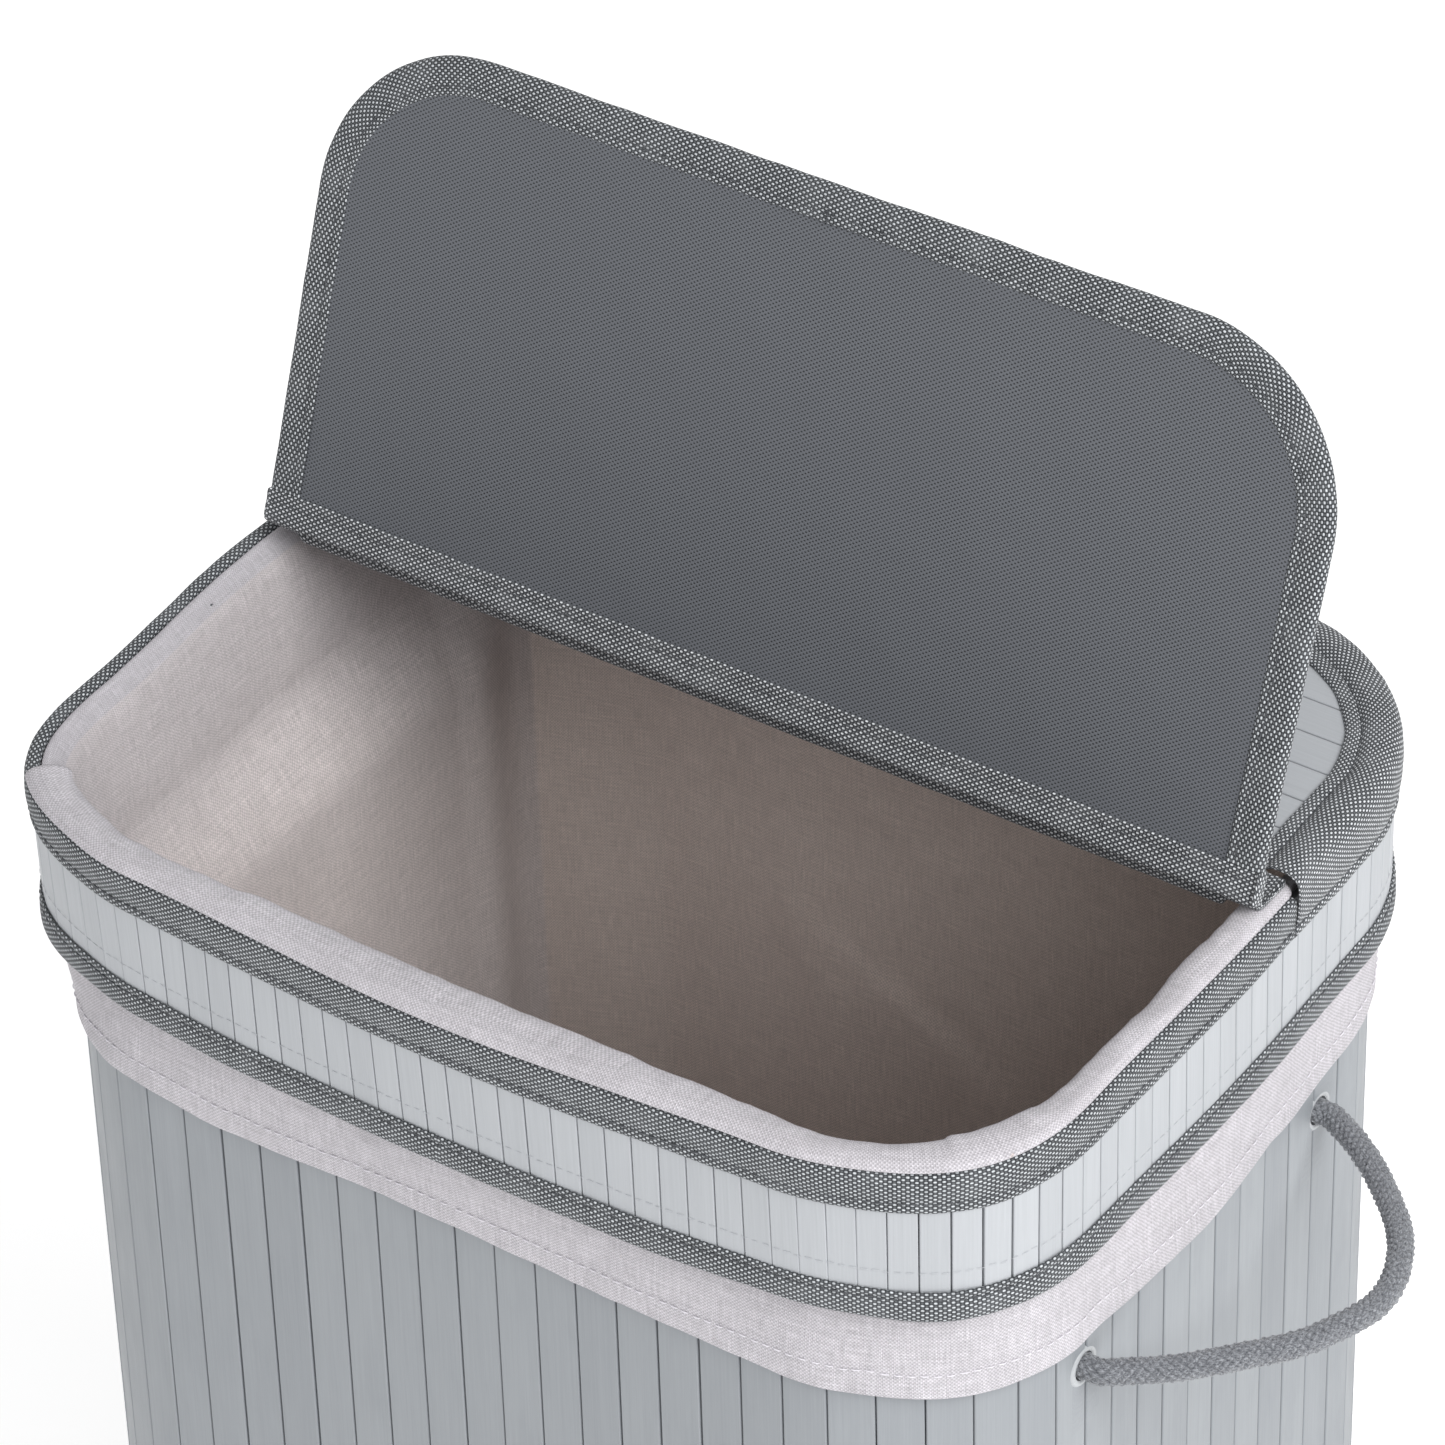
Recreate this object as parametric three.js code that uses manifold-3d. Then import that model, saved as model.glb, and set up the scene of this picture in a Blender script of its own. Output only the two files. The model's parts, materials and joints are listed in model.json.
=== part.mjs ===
// Laundry hamper with lid: a rectangular basket of upright bamboo slats with rounded corners, a lift-out
// cotton liner whose cuff folds over the rim, a lift-off lid with a slatted collar and a fixed rear panel,
// a flap hinged across the lid, and two rope handles. Millimetres, +Z up, +X to the right, front towards -Y.
// The origin is on the floor, under the middle of the basket.
import * as THREE from 'three';
import { mergeVertices } from 'three/addons/utils/BufferGeometryUtils.js';
import Module from 'manifold-3d';

const wasm = await Module();
wasm.setup();

// ---- driving dimensions -------------------------------------------------------------------------------
const WIDTH = 430; // outside of the lid's collar, left to right
const DEPTH = 342; // outside of the lid's collar, front to rear
const CORNER = 81; // plan radius of the collar's corners
const RIM = 640; // height of the collar's top edge
const GAP = 0.3; // clearance between layers that touch
const FOLDS = 4; // half the facets of each rounded corner

// Offsets are measured outwards from the collar's outer face: negative is further in.
const COLLAR_SLAT = [-2.0, 0];
const COLLAR_BACKING = [-2.9, -2.3];
const COLLAR_HOOP = [-2.6, -0.3];
const COLLAR_TAPE = [-4.0, 1.3];
const CUFF_SKIRT = [-5.3, -4.3];
const BASKET_TAPE = [-11.3, -5.6];
const BASKET_SLAT = [-9.4, -6.9];
const BASKET_BACKING = [-10.3, -9.8];
const BASKET_HOOP = [-9.9, -7.1];
const CUFF_INSIDE = [-17.5, -16.5];
const TAPE = 0.8; // thickness of the woven binding tape

const COLLAR_HEIGHT = 69.5;
const TOP_TAPE_HEIGHT = 19;
const BOTTOM_TAPE_HEIGHT = 14;
const BASKET_TAPE_HEIGHT = 22;
const HOOP_HEIGHT = 3.5;
const SKIRT_HEIGHT = 108; // of the liner's cuff, below the rim
const CUFF_DEPTH = 60; // of the cuff, inside the basket

const SLAT_GROOVE = 1.2;
const COLLAR_GROOVE = 1.0;
const WIDE_SLAT = 14; // slats wider than this bend round a corner

const HINGE_Y = 18; // front edge of the rear panel
const FLAP_REACH = 199; // from the hinge to the flap's front edge
const FLAP_CORNER = 66;
const FLAP_OPEN = 110; // degrees from closed, at rest
const EDGE_TAPE = 14; // width of the tape on the flap's faces
const PANEL_TAPE = 19; // width of the tape along the rear panel's front edge
const COVER_WIDTH = 20; // width of the rear cover on top of the panel
const PANEL_SLAT = 17.4; // pitch of the slats in the panel and the flap

// Heights of the layers of the rear panel and the flap, above the collar's top edge.
const UNDER_TAPE = [0.3, 0.9];
const LINING = [1.2, 1.7];
const BOARD = [2.0, 3.2];
const TOP_SLATS = [3.5, 5.3];
const OVER_TAPE = [5.6, 6.2];
const HINGE_Z = 6.5;

const EYELET_SPACING = 161;
const EYELET_MIDDLE = -6.5; // the pair sits a little forward of the wall's middle
const EYELET_DROP = 129.6; // below the rim
const ROPE_R = 5;
const LOOP_REACH = 88.5; // control height of the loop; the rope stands out three quarters of it
const LOOP_SHOULDER = 27.5;
const LOOP_TILT = -5; // degrees below level, at rest; negative is above

// ---- colours ------------------------------------------------------------------------------------------
const LOOKS = {
  wall_slats: { color: 0x9ba0a5, roughness: 0.55, metalness: 0 },
  lid_slats: { color: 0xc3c8cc, roughness: 0.5, metalness: 0 },
  tape: { color: 0x6e7376, roughness: 0.9, metalness: 0 },
  lining: { color: 0x55595e, roughness: 0.85, metalness: 0 },
  cotton: { color: 0xcdc6cb, roughness: 0.95, metalness: 0 },
  rope: { color: 0x8c8f92, roughness: 0.95, metalness: 0 },
  backing: { color: 0x8a8c8e, roughness: 0.95, metalness: 0 },
  eyelet: { color: 0xd9d7d0, roughness: 0.35, metalness: 0 },
  steel: { color: 0x9a9da0, roughness: 0.35, metalness: 1 },
  board: { color: 0xb08d62, roughness: 0.8, metalness: 0 },
};

// ---- solids -------------------------------------------------------------------------------------------
const rad = THREE.MathUtils.degToRad;

// A rounded rectangle in plan, set out from the collar's outer face by an offset.
function outline(offset, Kind = THREE.Shape) {
  const x = WIDTH / 2 - CORNER;
  const y = DEPTH / 2 - CORNER;
  const r = CORNER + offset;
  const path = new Kind();
  path.moveTo(x, -y - r);
  path.absarc(x, -y, r, rad(-90), 0, false);
  path.absarc(x, y, r, 0, rad(90), false);
  path.absarc(-x, y, r, rad(90), rad(180), false);
  path.absarc(-x, -y, r, rad(180), rad(270), false);
  path.closePath();
  return path;
}

function raise(shape, low, high, steps = 1) {
  const geometry = new THREE.ExtrudeGeometry(shape, {
    depth: high - low,
    steps,
    bevelEnabled: false,
    curveSegments: FOLDS,
  });
  return geometry.translate(0, 0, low);
}

// A band between two offsets, all the way round.
function ring([inner, outer], [low, high], steps = 1) {
  const shape = outline(outer);
  shape.holes.push(outline(inner, THREE.Path));
  return raise(shape, low, high, steps);
}

function sheet(offset, [low, high]) {
  return raise(outline(offset), low, high);
}

function box([x0, x1], [y0, y1], [z0, z1]) {
  const geometry = new THREE.BoxGeometry(x1 - x0, y1 - y0, z1 - z0);
  return geometry.translate((x0 + x1) / 2, (y0 + y1) / 2, (z0 + z1) / 2);
}

function solid(geometry) {
  const bare = geometry.clone();
  bare.deleteAttribute('normal');
  bare.deleteAttribute('uv');
  const merged = mergeVertices(bare, 1e-4);
  return new wasm.Manifold(
    new wasm.Mesh({
      numProp: 3,
      vertProperties: new Float32Array(merged.attributes.position.array),
      triVerts: new Uint32Array(merged.index.array),
    }),
  );
}

function geometryOf(manifold) {
  const mesh = manifold.getMesh();
  const geometry = new THREE.BufferGeometry();
  geometry.setAttribute('position', new THREE.BufferAttribute(new Float32Array(mesh.vertProperties), 3));
  geometry.setIndex(new THREE.BufferAttribute(new Uint32Array(mesh.triVerts), 1));
  return geometry;
}

function joined(...pieces) {
  return geometryOf(pieces.map(solid).reduce((whole, piece) => whole.add(piece)));
}

function cut(piece, ...tools) {
  return geometryOf(tools.map(solid).reduce((whole, tool) => whole.subtract(tool), solid(piece)));
}

function common(piece, tool) {
  return geometryOf(solid(piece).intersect(solid(tool)));
}

// Binding folded over an edge: a channel that opens downwards or upwards.
function channel([inner, outer], [low, high], opensDown) {
  const hollow = opensDown ? [low - 1, high - TAPE] : [low + TAPE, high + 1];
  return cut(ring([inner, outer], [low, high]), ring([inner + TAPE, outer - TAPE], hollow));
}

// Everything of the lid in front of, or behind, a line across it.
const FAR = 400;
const inFrontOf = (y) => box([-FAR, FAR], [-FAR, y], [0, RIM + FAR]);
const behind = (y) => box([-FAR, FAR], [y, FAR], [0, RIM + FAR]);

// Slats side by side with open joints on the outer face. pointAt(t, depth) gives the plan point t slats
// along and a depth in from the outer face; facets is how many straight stretches the back needs.
function slatShape(count, thickness, groove, facets, pointAt) {
  const face = [pointAt(0, 0)];
  const back = [];
  const floor = thickness * 0.6;
  for (let slat = 1; slat < count; slat += 1) {
    if (facets > count) {
      face.push(pointAt(slat - 0.5, 0));
    }
    face.push(pointAt(slat - groove, 0), pointAt(slat - groove, floor));
    face.push(pointAt(slat + groove, floor), pointAt(slat + groove, 0));
  }
  if (facets > count) {
    face.push(pointAt(count - 0.5, 0));
  }
  face.push(pointAt(count, 0));
  for (let facet = facets; facet >= 0; facet -= 1) {
    back.push(pointAt((facet / facets) * count, thickness));
  }
  return new THREE.Shape([...face, ...back]);
}

// A flat run of slats along local X, its outer face towards -Y.
function flatSlats(length, count, [inner, outer], groove) {
  const span = length - GAP;
  const pitch = span / count;
  const pointAt = (t, depth) => new THREE.Vector2(-span / 2 + t * pitch, -(outer - depth));
  return slatShape(count, outer - inner, groove / 2 / pitch, 1, pointAt);
}

// A quarter turn of slats about the local origin, from facing -Y to facing +X. Wide slats bend once.
function cornerSlats(count, [inner, outer], groove) {
  const radius = CORNER + outer;
  const pitch = (radius * Math.PI) / 2 / count;
  const pointAt = (t, depth) => {
    const angle = -Math.PI / 2 + (t / count) * (Math.PI / 2);
    return new THREE.Vector2(Math.cos(angle) * (radius - depth), Math.sin(angle) * (radius - depth));
  };
  const facets = pitch > WIDE_SLAT ? 2 * count : count;
  return slatShape(count, outer - inner, groove / 2 / pitch, facets, pointAt);
}

// ---- the scene ----------------------------------------------------------------------------------------
const hamper = new THREE.Group();

function add(name, look, geometry, parent = hamper) {
  const mesh = new THREE.Mesh(geometry, new THREE.MeshStandardMaterial(LOOKS[look]));
  mesh.name = name;
  parent.add(mesh);
  return mesh;
}

// Eight runs of slats make a wall: four flat sides and four rounded corners.
function slatWall(prefix, look, { layer, heights, counts, groove, holes = [] }) {
  const sides = [
    ['front', WIDTH - 2 * CORNER, counts.long, DEPTH / 2, 0],
    ['right', DEPTH - 2 * CORNER, counts.short, WIDTH / 2, 90],
    ['rear', WIDTH - 2 * CORNER, counts.long, DEPTH / 2, 180],
    ['left', DEPTH - 2 * CORNER, counts.short, WIDTH / 2, 270],
  ];
  for (const [side, length, count, reach, turn] of sides) {
    let geometry = raise(flatSlats(length, count, layer, groove), ...heights).translate(0, -reach, 0);
    geometry.rotateZ(rad(turn));
    if (holes.length > 0 && reach === WIDTH / 2) {
      geometry = cut(geometry, ...holes);
    }
    add(`${prefix}_${side}_slats`, look, geometry);
  }
  const corners = [
    ['front_right', 1, -1, 0],
    ['rear_right', 1, 1, 90],
    ['rear_left', -1, 1, 180],
    ['front_left', -1, -1, 270],
  ];
  for (const [corner, sx, sy, turn] of corners) {
    let geometry = raise(cornerSlats(counts.corner, layer, groove), ...heights);
    geometry.rotateZ(rad(turn)).translate(sx * (WIDTH / 2 - CORNER), sy * (DEPTH / 2 - CORNER), 0);
    if (holes.length > 0 && sy < 0) {
      geometry = cut(geometry, ...holes);
    }
    add(`${prefix}_${corner}_slats`, look, geometry);
  }
}

// ---- handle fittings: eyelets, washers and knots ------------------------------------------------------
const WALL_FACE = WIDTH / 2 + BASKET_SLAT[1];
const BACKING_FACE = WIDTH / 2 + BASKET_BACKING[0];
const EYELET_Z = RIM - EYELET_DROP;
const BORE_R = 5.4;
const BARREL_R = 6.6;
const FLANGE_R = 8.4;
const WASHER_R = 8.4;
const FLANGE = 1.2;
const FLANGE_FACE = WALL_FACE + GAP + FLANGE;
const TURNED_SIDES = 14;
const PIVOT_X = FLANGE_FACE + 0.9 + ROPE_R;

// Turns a profile of [radius, outward distance] points about a handle's rope axis.
function turned(profile, y, side) {
  const points = profile.map(([radius, x]) => new THREE.Vector2(radius, x));
  const geometry = new THREE.LatheGeometry(points, TURNED_SIDES);
  geometry.rotateZ(-Math.PI / 2);
  if (side < 0) {
    geometry.rotateZ(Math.PI);
  }
  return geometry.translate(0, y, EYELET_Z);
}

const WASHER = [BACKING_FACE - 2.9, BACKING_FACE - 1.4];
const BARREL_END = WASHER[0] - 0.6;
const eyeletProfile = [
  [BORE_R, BARREL_END],
  [BARREL_R, BARREL_END],
  [BARREL_R, WALL_FACE + GAP],
  [FLANGE_R, WALL_FACE + GAP],
  [FLANGE_R - 1, FLANGE_FACE],
  [BORE_R, FLANGE_FACE],
  [BORE_R, BARREL_END],
];
const washerProfile = [
  [BARREL_R + GAP, WASHER[0]],
  [WASHER_R, WASHER[0]],
  [WASHER_R, WASHER[1]],
  [BARREL_R + GAP, WASHER[1]],
  [BARREL_R + GAP, WASHER[0]],
];
const KNOT_BACK = BARREL_END - GAP;
const KNOT_LENGTH = 17.5;
const KNOT_R = 10;
const knotProfile = [
  [0, KNOT_BACK - KNOT_LENGTH],
  [KNOT_R * 0.8, KNOT_BACK - KNOT_LENGTH + 3],
  [KNOT_R, KNOT_BACK - KNOT_LENGTH / 2],
  [KNOT_R * 0.8, KNOT_BACK - 3],
  [ROPE_R, KNOT_BACK],
  [ROPE_R, FLANGE_FACE + 0.5],
  [0, FLANGE_FACE + 0.5],
];
const EYELET_PLACES = [
  ['right_front', -1, 1],
  ['right_rear', 1, 1],
  ['left_front', -1, -1],
  ['left_rear', 1, -1],
].map(([name, end, side]) => ({ name, y: EYELET_MIDDLE + (end * EYELET_SPACING) / 2, side }));

for (const { name, y, side } of EYELET_PLACES) {
  add(`eyelet_${name}`, 'eyelet', turned(eyeletProfile, y, side));
  add(`eyelet_washer_${name}`, 'eyelet', turned(washerProfile, y, side));
  add(`rope_knot_${name}`, 'rope', turned(knotProfile, y, side));
}

const holeDrills = [-1, 1].map((end) => {
  const drill = new THREE.CylinderGeometry(BARREL_R + GAP, BARREL_R + GAP, WIDTH, TURNED_SIDES);
  return drill.rotateZ(Math.PI / 2).translate(0, EYELET_MIDDLE + (end * EYELET_SPACING) / 2, EYELET_Z);
});

// ---- basket -------------------------------------------------------------------------------------------
const basketTop = RIM - 4;
const basketSlats = [TAPE + GAP + HOOP_HEIGHT + GAP, basketTop - TAPE - GAP - HOOP_HEIGHT - GAP];
slatWall('wall', 'wall_slats', {
  layer: BASKET_SLAT,
  heights: basketSlats,
  counts: { long: 16, short: 11, corner: 7 },
  groove: SLAT_GROOVE,
  holes: holeDrills,
});
add('wall_backing_cloth', 'backing', cut(ring(BASKET_BACKING, basketSlats), ...holeDrills));
const topHoop = [basketTop - TAPE - GAP - HOOP_HEIGHT, basketTop - TAPE - GAP];
add('basket_top_hoop', 'steel', ring(BASKET_HOOP, topHoop));
add('basket_bottom_hoop', 'steel', ring(BASKET_HOOP, [TAPE + GAP, TAPE + GAP + HOOP_HEIGHT]));
add('basket_top_binding', 'tape', channel(BASKET_TAPE, [basketTop - BASKET_TAPE_HEIGHT, basketTop], true));
add('basket_bottom_binding', 'tape', channel(BASKET_TAPE, [0, BASKET_TAPE_HEIGHT], false));

const BASE_CLOTH = [2.0, 2.8];
const BASE_BOARD = [3.1, 6.1];
add('base_cloth', 'backing', sheet(BASKET_TAPE[0] - GAP, BASE_CLOTH));
add('base_board', 'board', sheet(BASKET_TAPE[0] - 2, BASE_BOARD));

// ---- rope handles -------------------------------------------------------------------------------------
const loopCurve = new THREE.CubicBezierCurve3(
  new THREE.Vector3(0, -EYELET_SPACING / 2, 0),
  new THREE.Vector3(LOOP_REACH, -LOOP_SHOULDER, 0),
  new THREE.Vector3(LOOP_REACH, LOOP_SHOULDER, 0),
  new THREE.Vector3(0, EYELET_SPACING / 2, 0),
);
const ropeSection = new THREE.Shape().absarc(0, 0, ROPE_R, 0, 2 * Math.PI, false);
for (const [side, turn, middle] of [['right', 0, EYELET_MIDDLE], ['left', 180, -EYELET_MIDDLE]]) {
  const turnTable = new THREE.Group();
  turnTable.rotation.z = rad(turn);
  const pivot = new THREE.Group();
  pivot.position.set(PIVOT_X, middle, EYELET_Z);
  pivot.rotation.y = rad(LOOP_TILT);
  turnTable.add(pivot);
  hamper.add(turnTable);
  const options = { steps: 24, extrudePath: loopCurve, curveSegments: 4, bevelEnabled: false };
  add(`rope_handle_${side}`, 'rope', new THREE.ExtrudeGeometry(ropeSection, options), pivot);
}

// ---- liner --------------------------------------------------------------------------------------------
const cuffTop = RIM - 1.5;
const CLOTH = 1.0;
const cuffOutline = [CUFF_INSIDE[0], CUFF_SKIRT[1]];
const cuffBottom = RIM - SKIRT_HEIGHT;
add('liner_cuff', 'cotton', cut(
  ring(cuffOutline, [cuffBottom, cuffTop]),
  ring([CUFF_INSIDE[1], CUFF_SKIRT[0]], [cuffBottom - 1, cuffTop - CLOTH]),
  ring([CUFF_INSIDE[0] - 1, CUFF_INSIDE[1] + 1], [cuffBottom - 1, RIM - CUFF_DEPTH]),
));

// The bag narrows below the cuff, more at the two ends, where the rope knots are behind it.
const LINER_NARROWS = { x: 16, y: 5, over: 50 };
const narrowed = (place, by) => place - Math.sign(place) * by;
const linerTop = RIM - CUFF_DEPTH - GAP;
const linerFloor = BASE_BOARD[1] + 1.2;
const linerWall = ring(CUFF_INSIDE, [linerFloor, linerTop], 2);
const linerPlaces = linerWall.attributes.position;
for (let i = 0; i < linerPlaces.count; i += 1) {
  if (linerPlaces.getZ(i) < linerTop - 1) {
    linerPlaces.setX(i, narrowed(linerPlaces.getX(i), LINER_NARROWS.x));
    linerPlaces.setY(i, narrowed(linerPlaces.getY(i), LINER_NARROWS.y));
    linerPlaces.setZ(i, linerPlaces.getZ(i) > linerFloor + 1 ? linerTop - LINER_NARROWS.over : linerFloor);
  }
}
add('liner_wall', 'cotton', linerWall);
const linerBase = sheet(CUFF_INSIDE[0] - GAP, [linerFloor, linerFloor + CLOTH]);
const basePlaces = linerBase.attributes.position;
for (let i = 0; i < basePlaces.count; i += 1) {
  basePlaces.setX(i, narrowed(basePlaces.getX(i), LINER_NARROWS.x));
  basePlaces.setY(i, narrowed(basePlaces.getY(i), LINER_NARROWS.y));
}
add('liner_bottom', 'cotton', linerBase);

// ---- lid: collar and rear panel -----------------------------------------------------------------------
const collarBottom = RIM - COLLAR_HEIGHT;
const collarSlats = [collarBottom + TAPE + GAP, RIM - TAPE - GAP - HOOP_HEIGHT - GAP];
slatWall('collar', 'lid_slats', {
  layer: COLLAR_SLAT,
  heights: collarSlats,
  counts: { long: 25, short: 17, corner: 12 },
  groove: COLLAR_GROOVE,
});
add('collar_backing_cloth', 'backing', ring(COLLAR_BACKING, collarSlats));
add('collar_hoop', 'steel', ring(COLLAR_HOOP, [RIM - TAPE - GAP - HOOP_HEIGHT, RIM - TAPE - GAP]));
const coverEnd = HINGE_Y + PANEL_TAPE;
const topTape = channel(COLLAR_TAPE, [RIM - TOP_TAPE_HEIGHT, RIM], true);
add('collar_top_binding', 'tape', common(topTape, inFrontOf(coverEnd - GAP)));
const bottomTape = channel(COLLAR_TAPE, [collarBottom, collarBottom + BOTTOM_TAPE_HEIGHT], false);
add('collar_bottom_binding', 'tape', bottomTape);

const above = ([low, high]) => [RIM + low, RIM + high];
const THIN_TAPE = OVER_TAPE[1] - OVER_TAPE[0];
add('rear_cover_binding', 'tape', common(
  joined(
    ring([COLLAR_TAPE[1] - THIN_TAPE, COLLAR_TAPE[1]], [RIM - TOP_TAPE_HEIGHT, RIM + OVER_TAPE[1]]),
    ring([COLLAR_TAPE[1] - COVER_WIDTH, COLLAR_TAPE[1]], above(OVER_TAPE)),
  ),
  behind(coverEnd),
));
const panelFront = HINGE_Y + THIN_TAPE + GAP;
const PANEL_OFFSET = 0.2;
const panelLayer = (layer) => common(sheet(PANEL_OFFSET, above(layer)), behind(panelFront));
add('rear_panel_lining', 'lining', panelLayer(LINING));
add('rear_panel_board', 'board', panelLayer(BOARD));

// Joints between slats that run from side to side, cut from the top.
function crossJoints(first, last, top) {
  const cuts = [];
  for (let y = first; y < last; y += PANEL_SLAT) {
    const half = COLLAR_GROOVE / 2;
    cuts.push(box([-FAR, FAR], [y - half, y + half], [top - 1.1, top + 1]));
  }
  return cuts;
}
const panelJoints = crossJoints(HINGE_Y + PANEL_SLAT * 1.5, DEPTH / 2 - 4, RIM + TOP_SLATS[1]);
add('rear_panel_slats', 'lid_slats', cut(panelLayer(TOP_SLATS), ...panelJoints));
const panelTape = cut(
  box([-WIDTH / 2, WIDTH / 2], [HINGE_Y, coverEnd - GAP], above([UNDER_TAPE[0], OVER_TAPE[1]])),
  box([-FAR, FAR], [HINGE_Y + THIN_TAPE, coverEnd + 1], above([UNDER_TAPE[1], OVER_TAPE[0]])),
);
add('rear_panel_front_binding', 'tape', panelTape);

// ---- flap, drawn closed about its hinge line and turned open ------------------------------------------
const flapPivot = new THREE.Group();
flapPivot.position.set(0, HINGE_Y, RIM + HINGE_Z);
flapPivot.rotation.x = rad(-FLAP_OPEN);
hamper.add(flapPivot);

// The flap in plan, inset from its edge, from just in front of the hinge line.
function flapShape(inset, rear) {
  const x = WIDTH / 2 - inset;
  const front = -FLAP_REACH + inset;
  const r = FLAP_CORNER - inset;
  const shape = new THREE.Shape();
  shape.moveTo(x, rear);
  shape.lineTo(-x, rear);
  shape.lineTo(-x, front + r);
  shape.absarc(-x + r, front + r, r, rad(180), rad(270), false);
  shape.absarc(x - r, front + r, r, rad(270), rad(360), false);
  shape.closePath();
  return shape;
}
const toHinge = ([low, high]) => [low - HINGE_Z, high - HINGE_Z];
const flapRear = -GAP;
const hingeTapeFront = flapRear - EDGE_TAPE;
const core = THIN_TAPE + GAP;
const flapLayer = (layer) => raise(flapShape(core, flapRear - core), ...toHinge(layer));
add('flap_lining', 'lining', flapLayer(LINING), flapPivot);
add('flap_board', 'board', flapLayer(BOARD), flapPivot);
const flapJoints = crossJoints(-FLAP_REACH + PANEL_SLAT * 0.7, flapRear - 12, TOP_SLATS[1] - HINGE_Z);
add('flap_slats', 'lid_slats', cut(flapLayer(TOP_SLATS), ...flapJoints), flapPivot);

const fullStack = toHinge([UNDER_TAPE[0], OVER_TAPE[1]]);
const openStack = toHinge([UNDER_TAPE[1], OVER_TAPE[0]]);
const edgeTape = cut(
  raise(flapShape(0, hingeTapeFront - GAP), ...fullStack),
  raise(flapShape(THIN_TAPE, FAR), ...openStack),
  raise(flapShape(EDGE_TAPE, FAR), fullStack[0] - 1, fullStack[1] + 1),
);
add('flap_edge_binding', 'tape', edgeTape, flapPivot);
const hingeTape = cut(
  box([-WIDTH / 2, WIDTH / 2], [hingeTapeFront, flapRear], fullStack),
  box([-FAR, FAR], [hingeTapeFront - 1, flapRear - THIN_TAPE], openStack),
);
add('flap_hinge_binding', 'tape', hingeTape, flapPivot);

export default hamper;
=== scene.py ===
import json
import math

import bpy
import numpy as np
from mathutils import Matrix, Vector


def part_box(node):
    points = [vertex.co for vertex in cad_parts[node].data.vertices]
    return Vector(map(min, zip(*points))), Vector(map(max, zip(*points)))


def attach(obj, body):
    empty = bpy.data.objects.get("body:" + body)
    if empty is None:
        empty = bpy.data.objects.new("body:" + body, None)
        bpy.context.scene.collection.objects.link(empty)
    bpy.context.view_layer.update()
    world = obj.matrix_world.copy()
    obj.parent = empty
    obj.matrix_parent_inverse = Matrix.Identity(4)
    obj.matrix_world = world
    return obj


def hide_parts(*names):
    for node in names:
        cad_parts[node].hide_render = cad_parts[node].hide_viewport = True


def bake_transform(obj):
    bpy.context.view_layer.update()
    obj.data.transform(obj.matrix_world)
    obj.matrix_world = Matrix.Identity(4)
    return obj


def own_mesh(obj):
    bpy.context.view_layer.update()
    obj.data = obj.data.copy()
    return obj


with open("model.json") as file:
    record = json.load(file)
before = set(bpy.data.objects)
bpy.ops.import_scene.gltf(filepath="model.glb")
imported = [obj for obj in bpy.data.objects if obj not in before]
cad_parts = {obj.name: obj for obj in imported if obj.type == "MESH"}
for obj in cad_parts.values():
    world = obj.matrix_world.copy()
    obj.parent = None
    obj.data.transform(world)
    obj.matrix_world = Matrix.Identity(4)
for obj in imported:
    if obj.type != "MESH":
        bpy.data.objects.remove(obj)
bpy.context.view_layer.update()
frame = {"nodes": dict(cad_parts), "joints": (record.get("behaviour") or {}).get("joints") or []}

rng = np.random.default_rng(20)
MM = 0.001

# ---- sizes, from the CAD part --------------------------------------------------------------------------
HALF_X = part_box("collar_right_slats")[1].x  # the collar's outer face
HALF_Y = -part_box("collar_front_slats")[0].y
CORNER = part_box("collar_front_right_slats")[1].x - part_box("collar_front_right_slats")[0].x
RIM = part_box("collar_top_binding")[1].z
FLAT_X = HALF_X - CORNER  # half of the straight part of the front wall
FLAT_Y = HALF_Y - CORNER
ARC = CORNER * math.pi / 2
PERIMETER = 4 * (FLAT_X + FLAT_Y + ARC)
BOW_X = 1.8 * MM  # how far the middle of each wall stands out
BOW_Y = 2.0 * MM
# The slats stand out of true. Each pair is how far, in whole mm, at the rim and at the collar's lower edge.
FRONT_BOW = (6, 2)  # the front's middle leans out
DRAWN_IN = (-1, -4)  # the wall is drawn in where the front meets each corner
SPRUNG = {-1: (5, 4), 1: (3, 2)}  # the left and the right front corner spring out
SIDE_LEAN = {-1: (4, 3), 1: (1, 2)}  # the left and the right wall's middle
OUT_OF_TRUE = [(0.0, FLAT_X, FRONT_BOW)]  # centre along the outline, half width, the pair
for hand in (-1, 1):
    OUT_OF_TRUE.append((hand * (FLAT_X + ARC / 8), ARC / 2, DRAWN_IN))
    OUT_OF_TRUE.append((hand * (FLAT_X + 0.6 * ARC), 0.4 * ARC, SPRUNG[hand]))
    OUT_OF_TRUE.append((hand * (FLAT_X + ARC + FLAT_Y), FLAT_Y, SIDE_LEAN[hand]))
COLLAR_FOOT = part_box("collar_bottom_binding")[0].z
STRAIGHT_BELOW = COLLAR_FOOT - 36 * MM

JOINTS = {joint["name"]: joint for joint in frame["joints"]}
HINGE = Vector(JOINTS["flap_hinge"]["pos_m"])
FLAP_OPEN = math.radians(JOINTS["flap_hinge"]["range_deg"][1])

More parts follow.
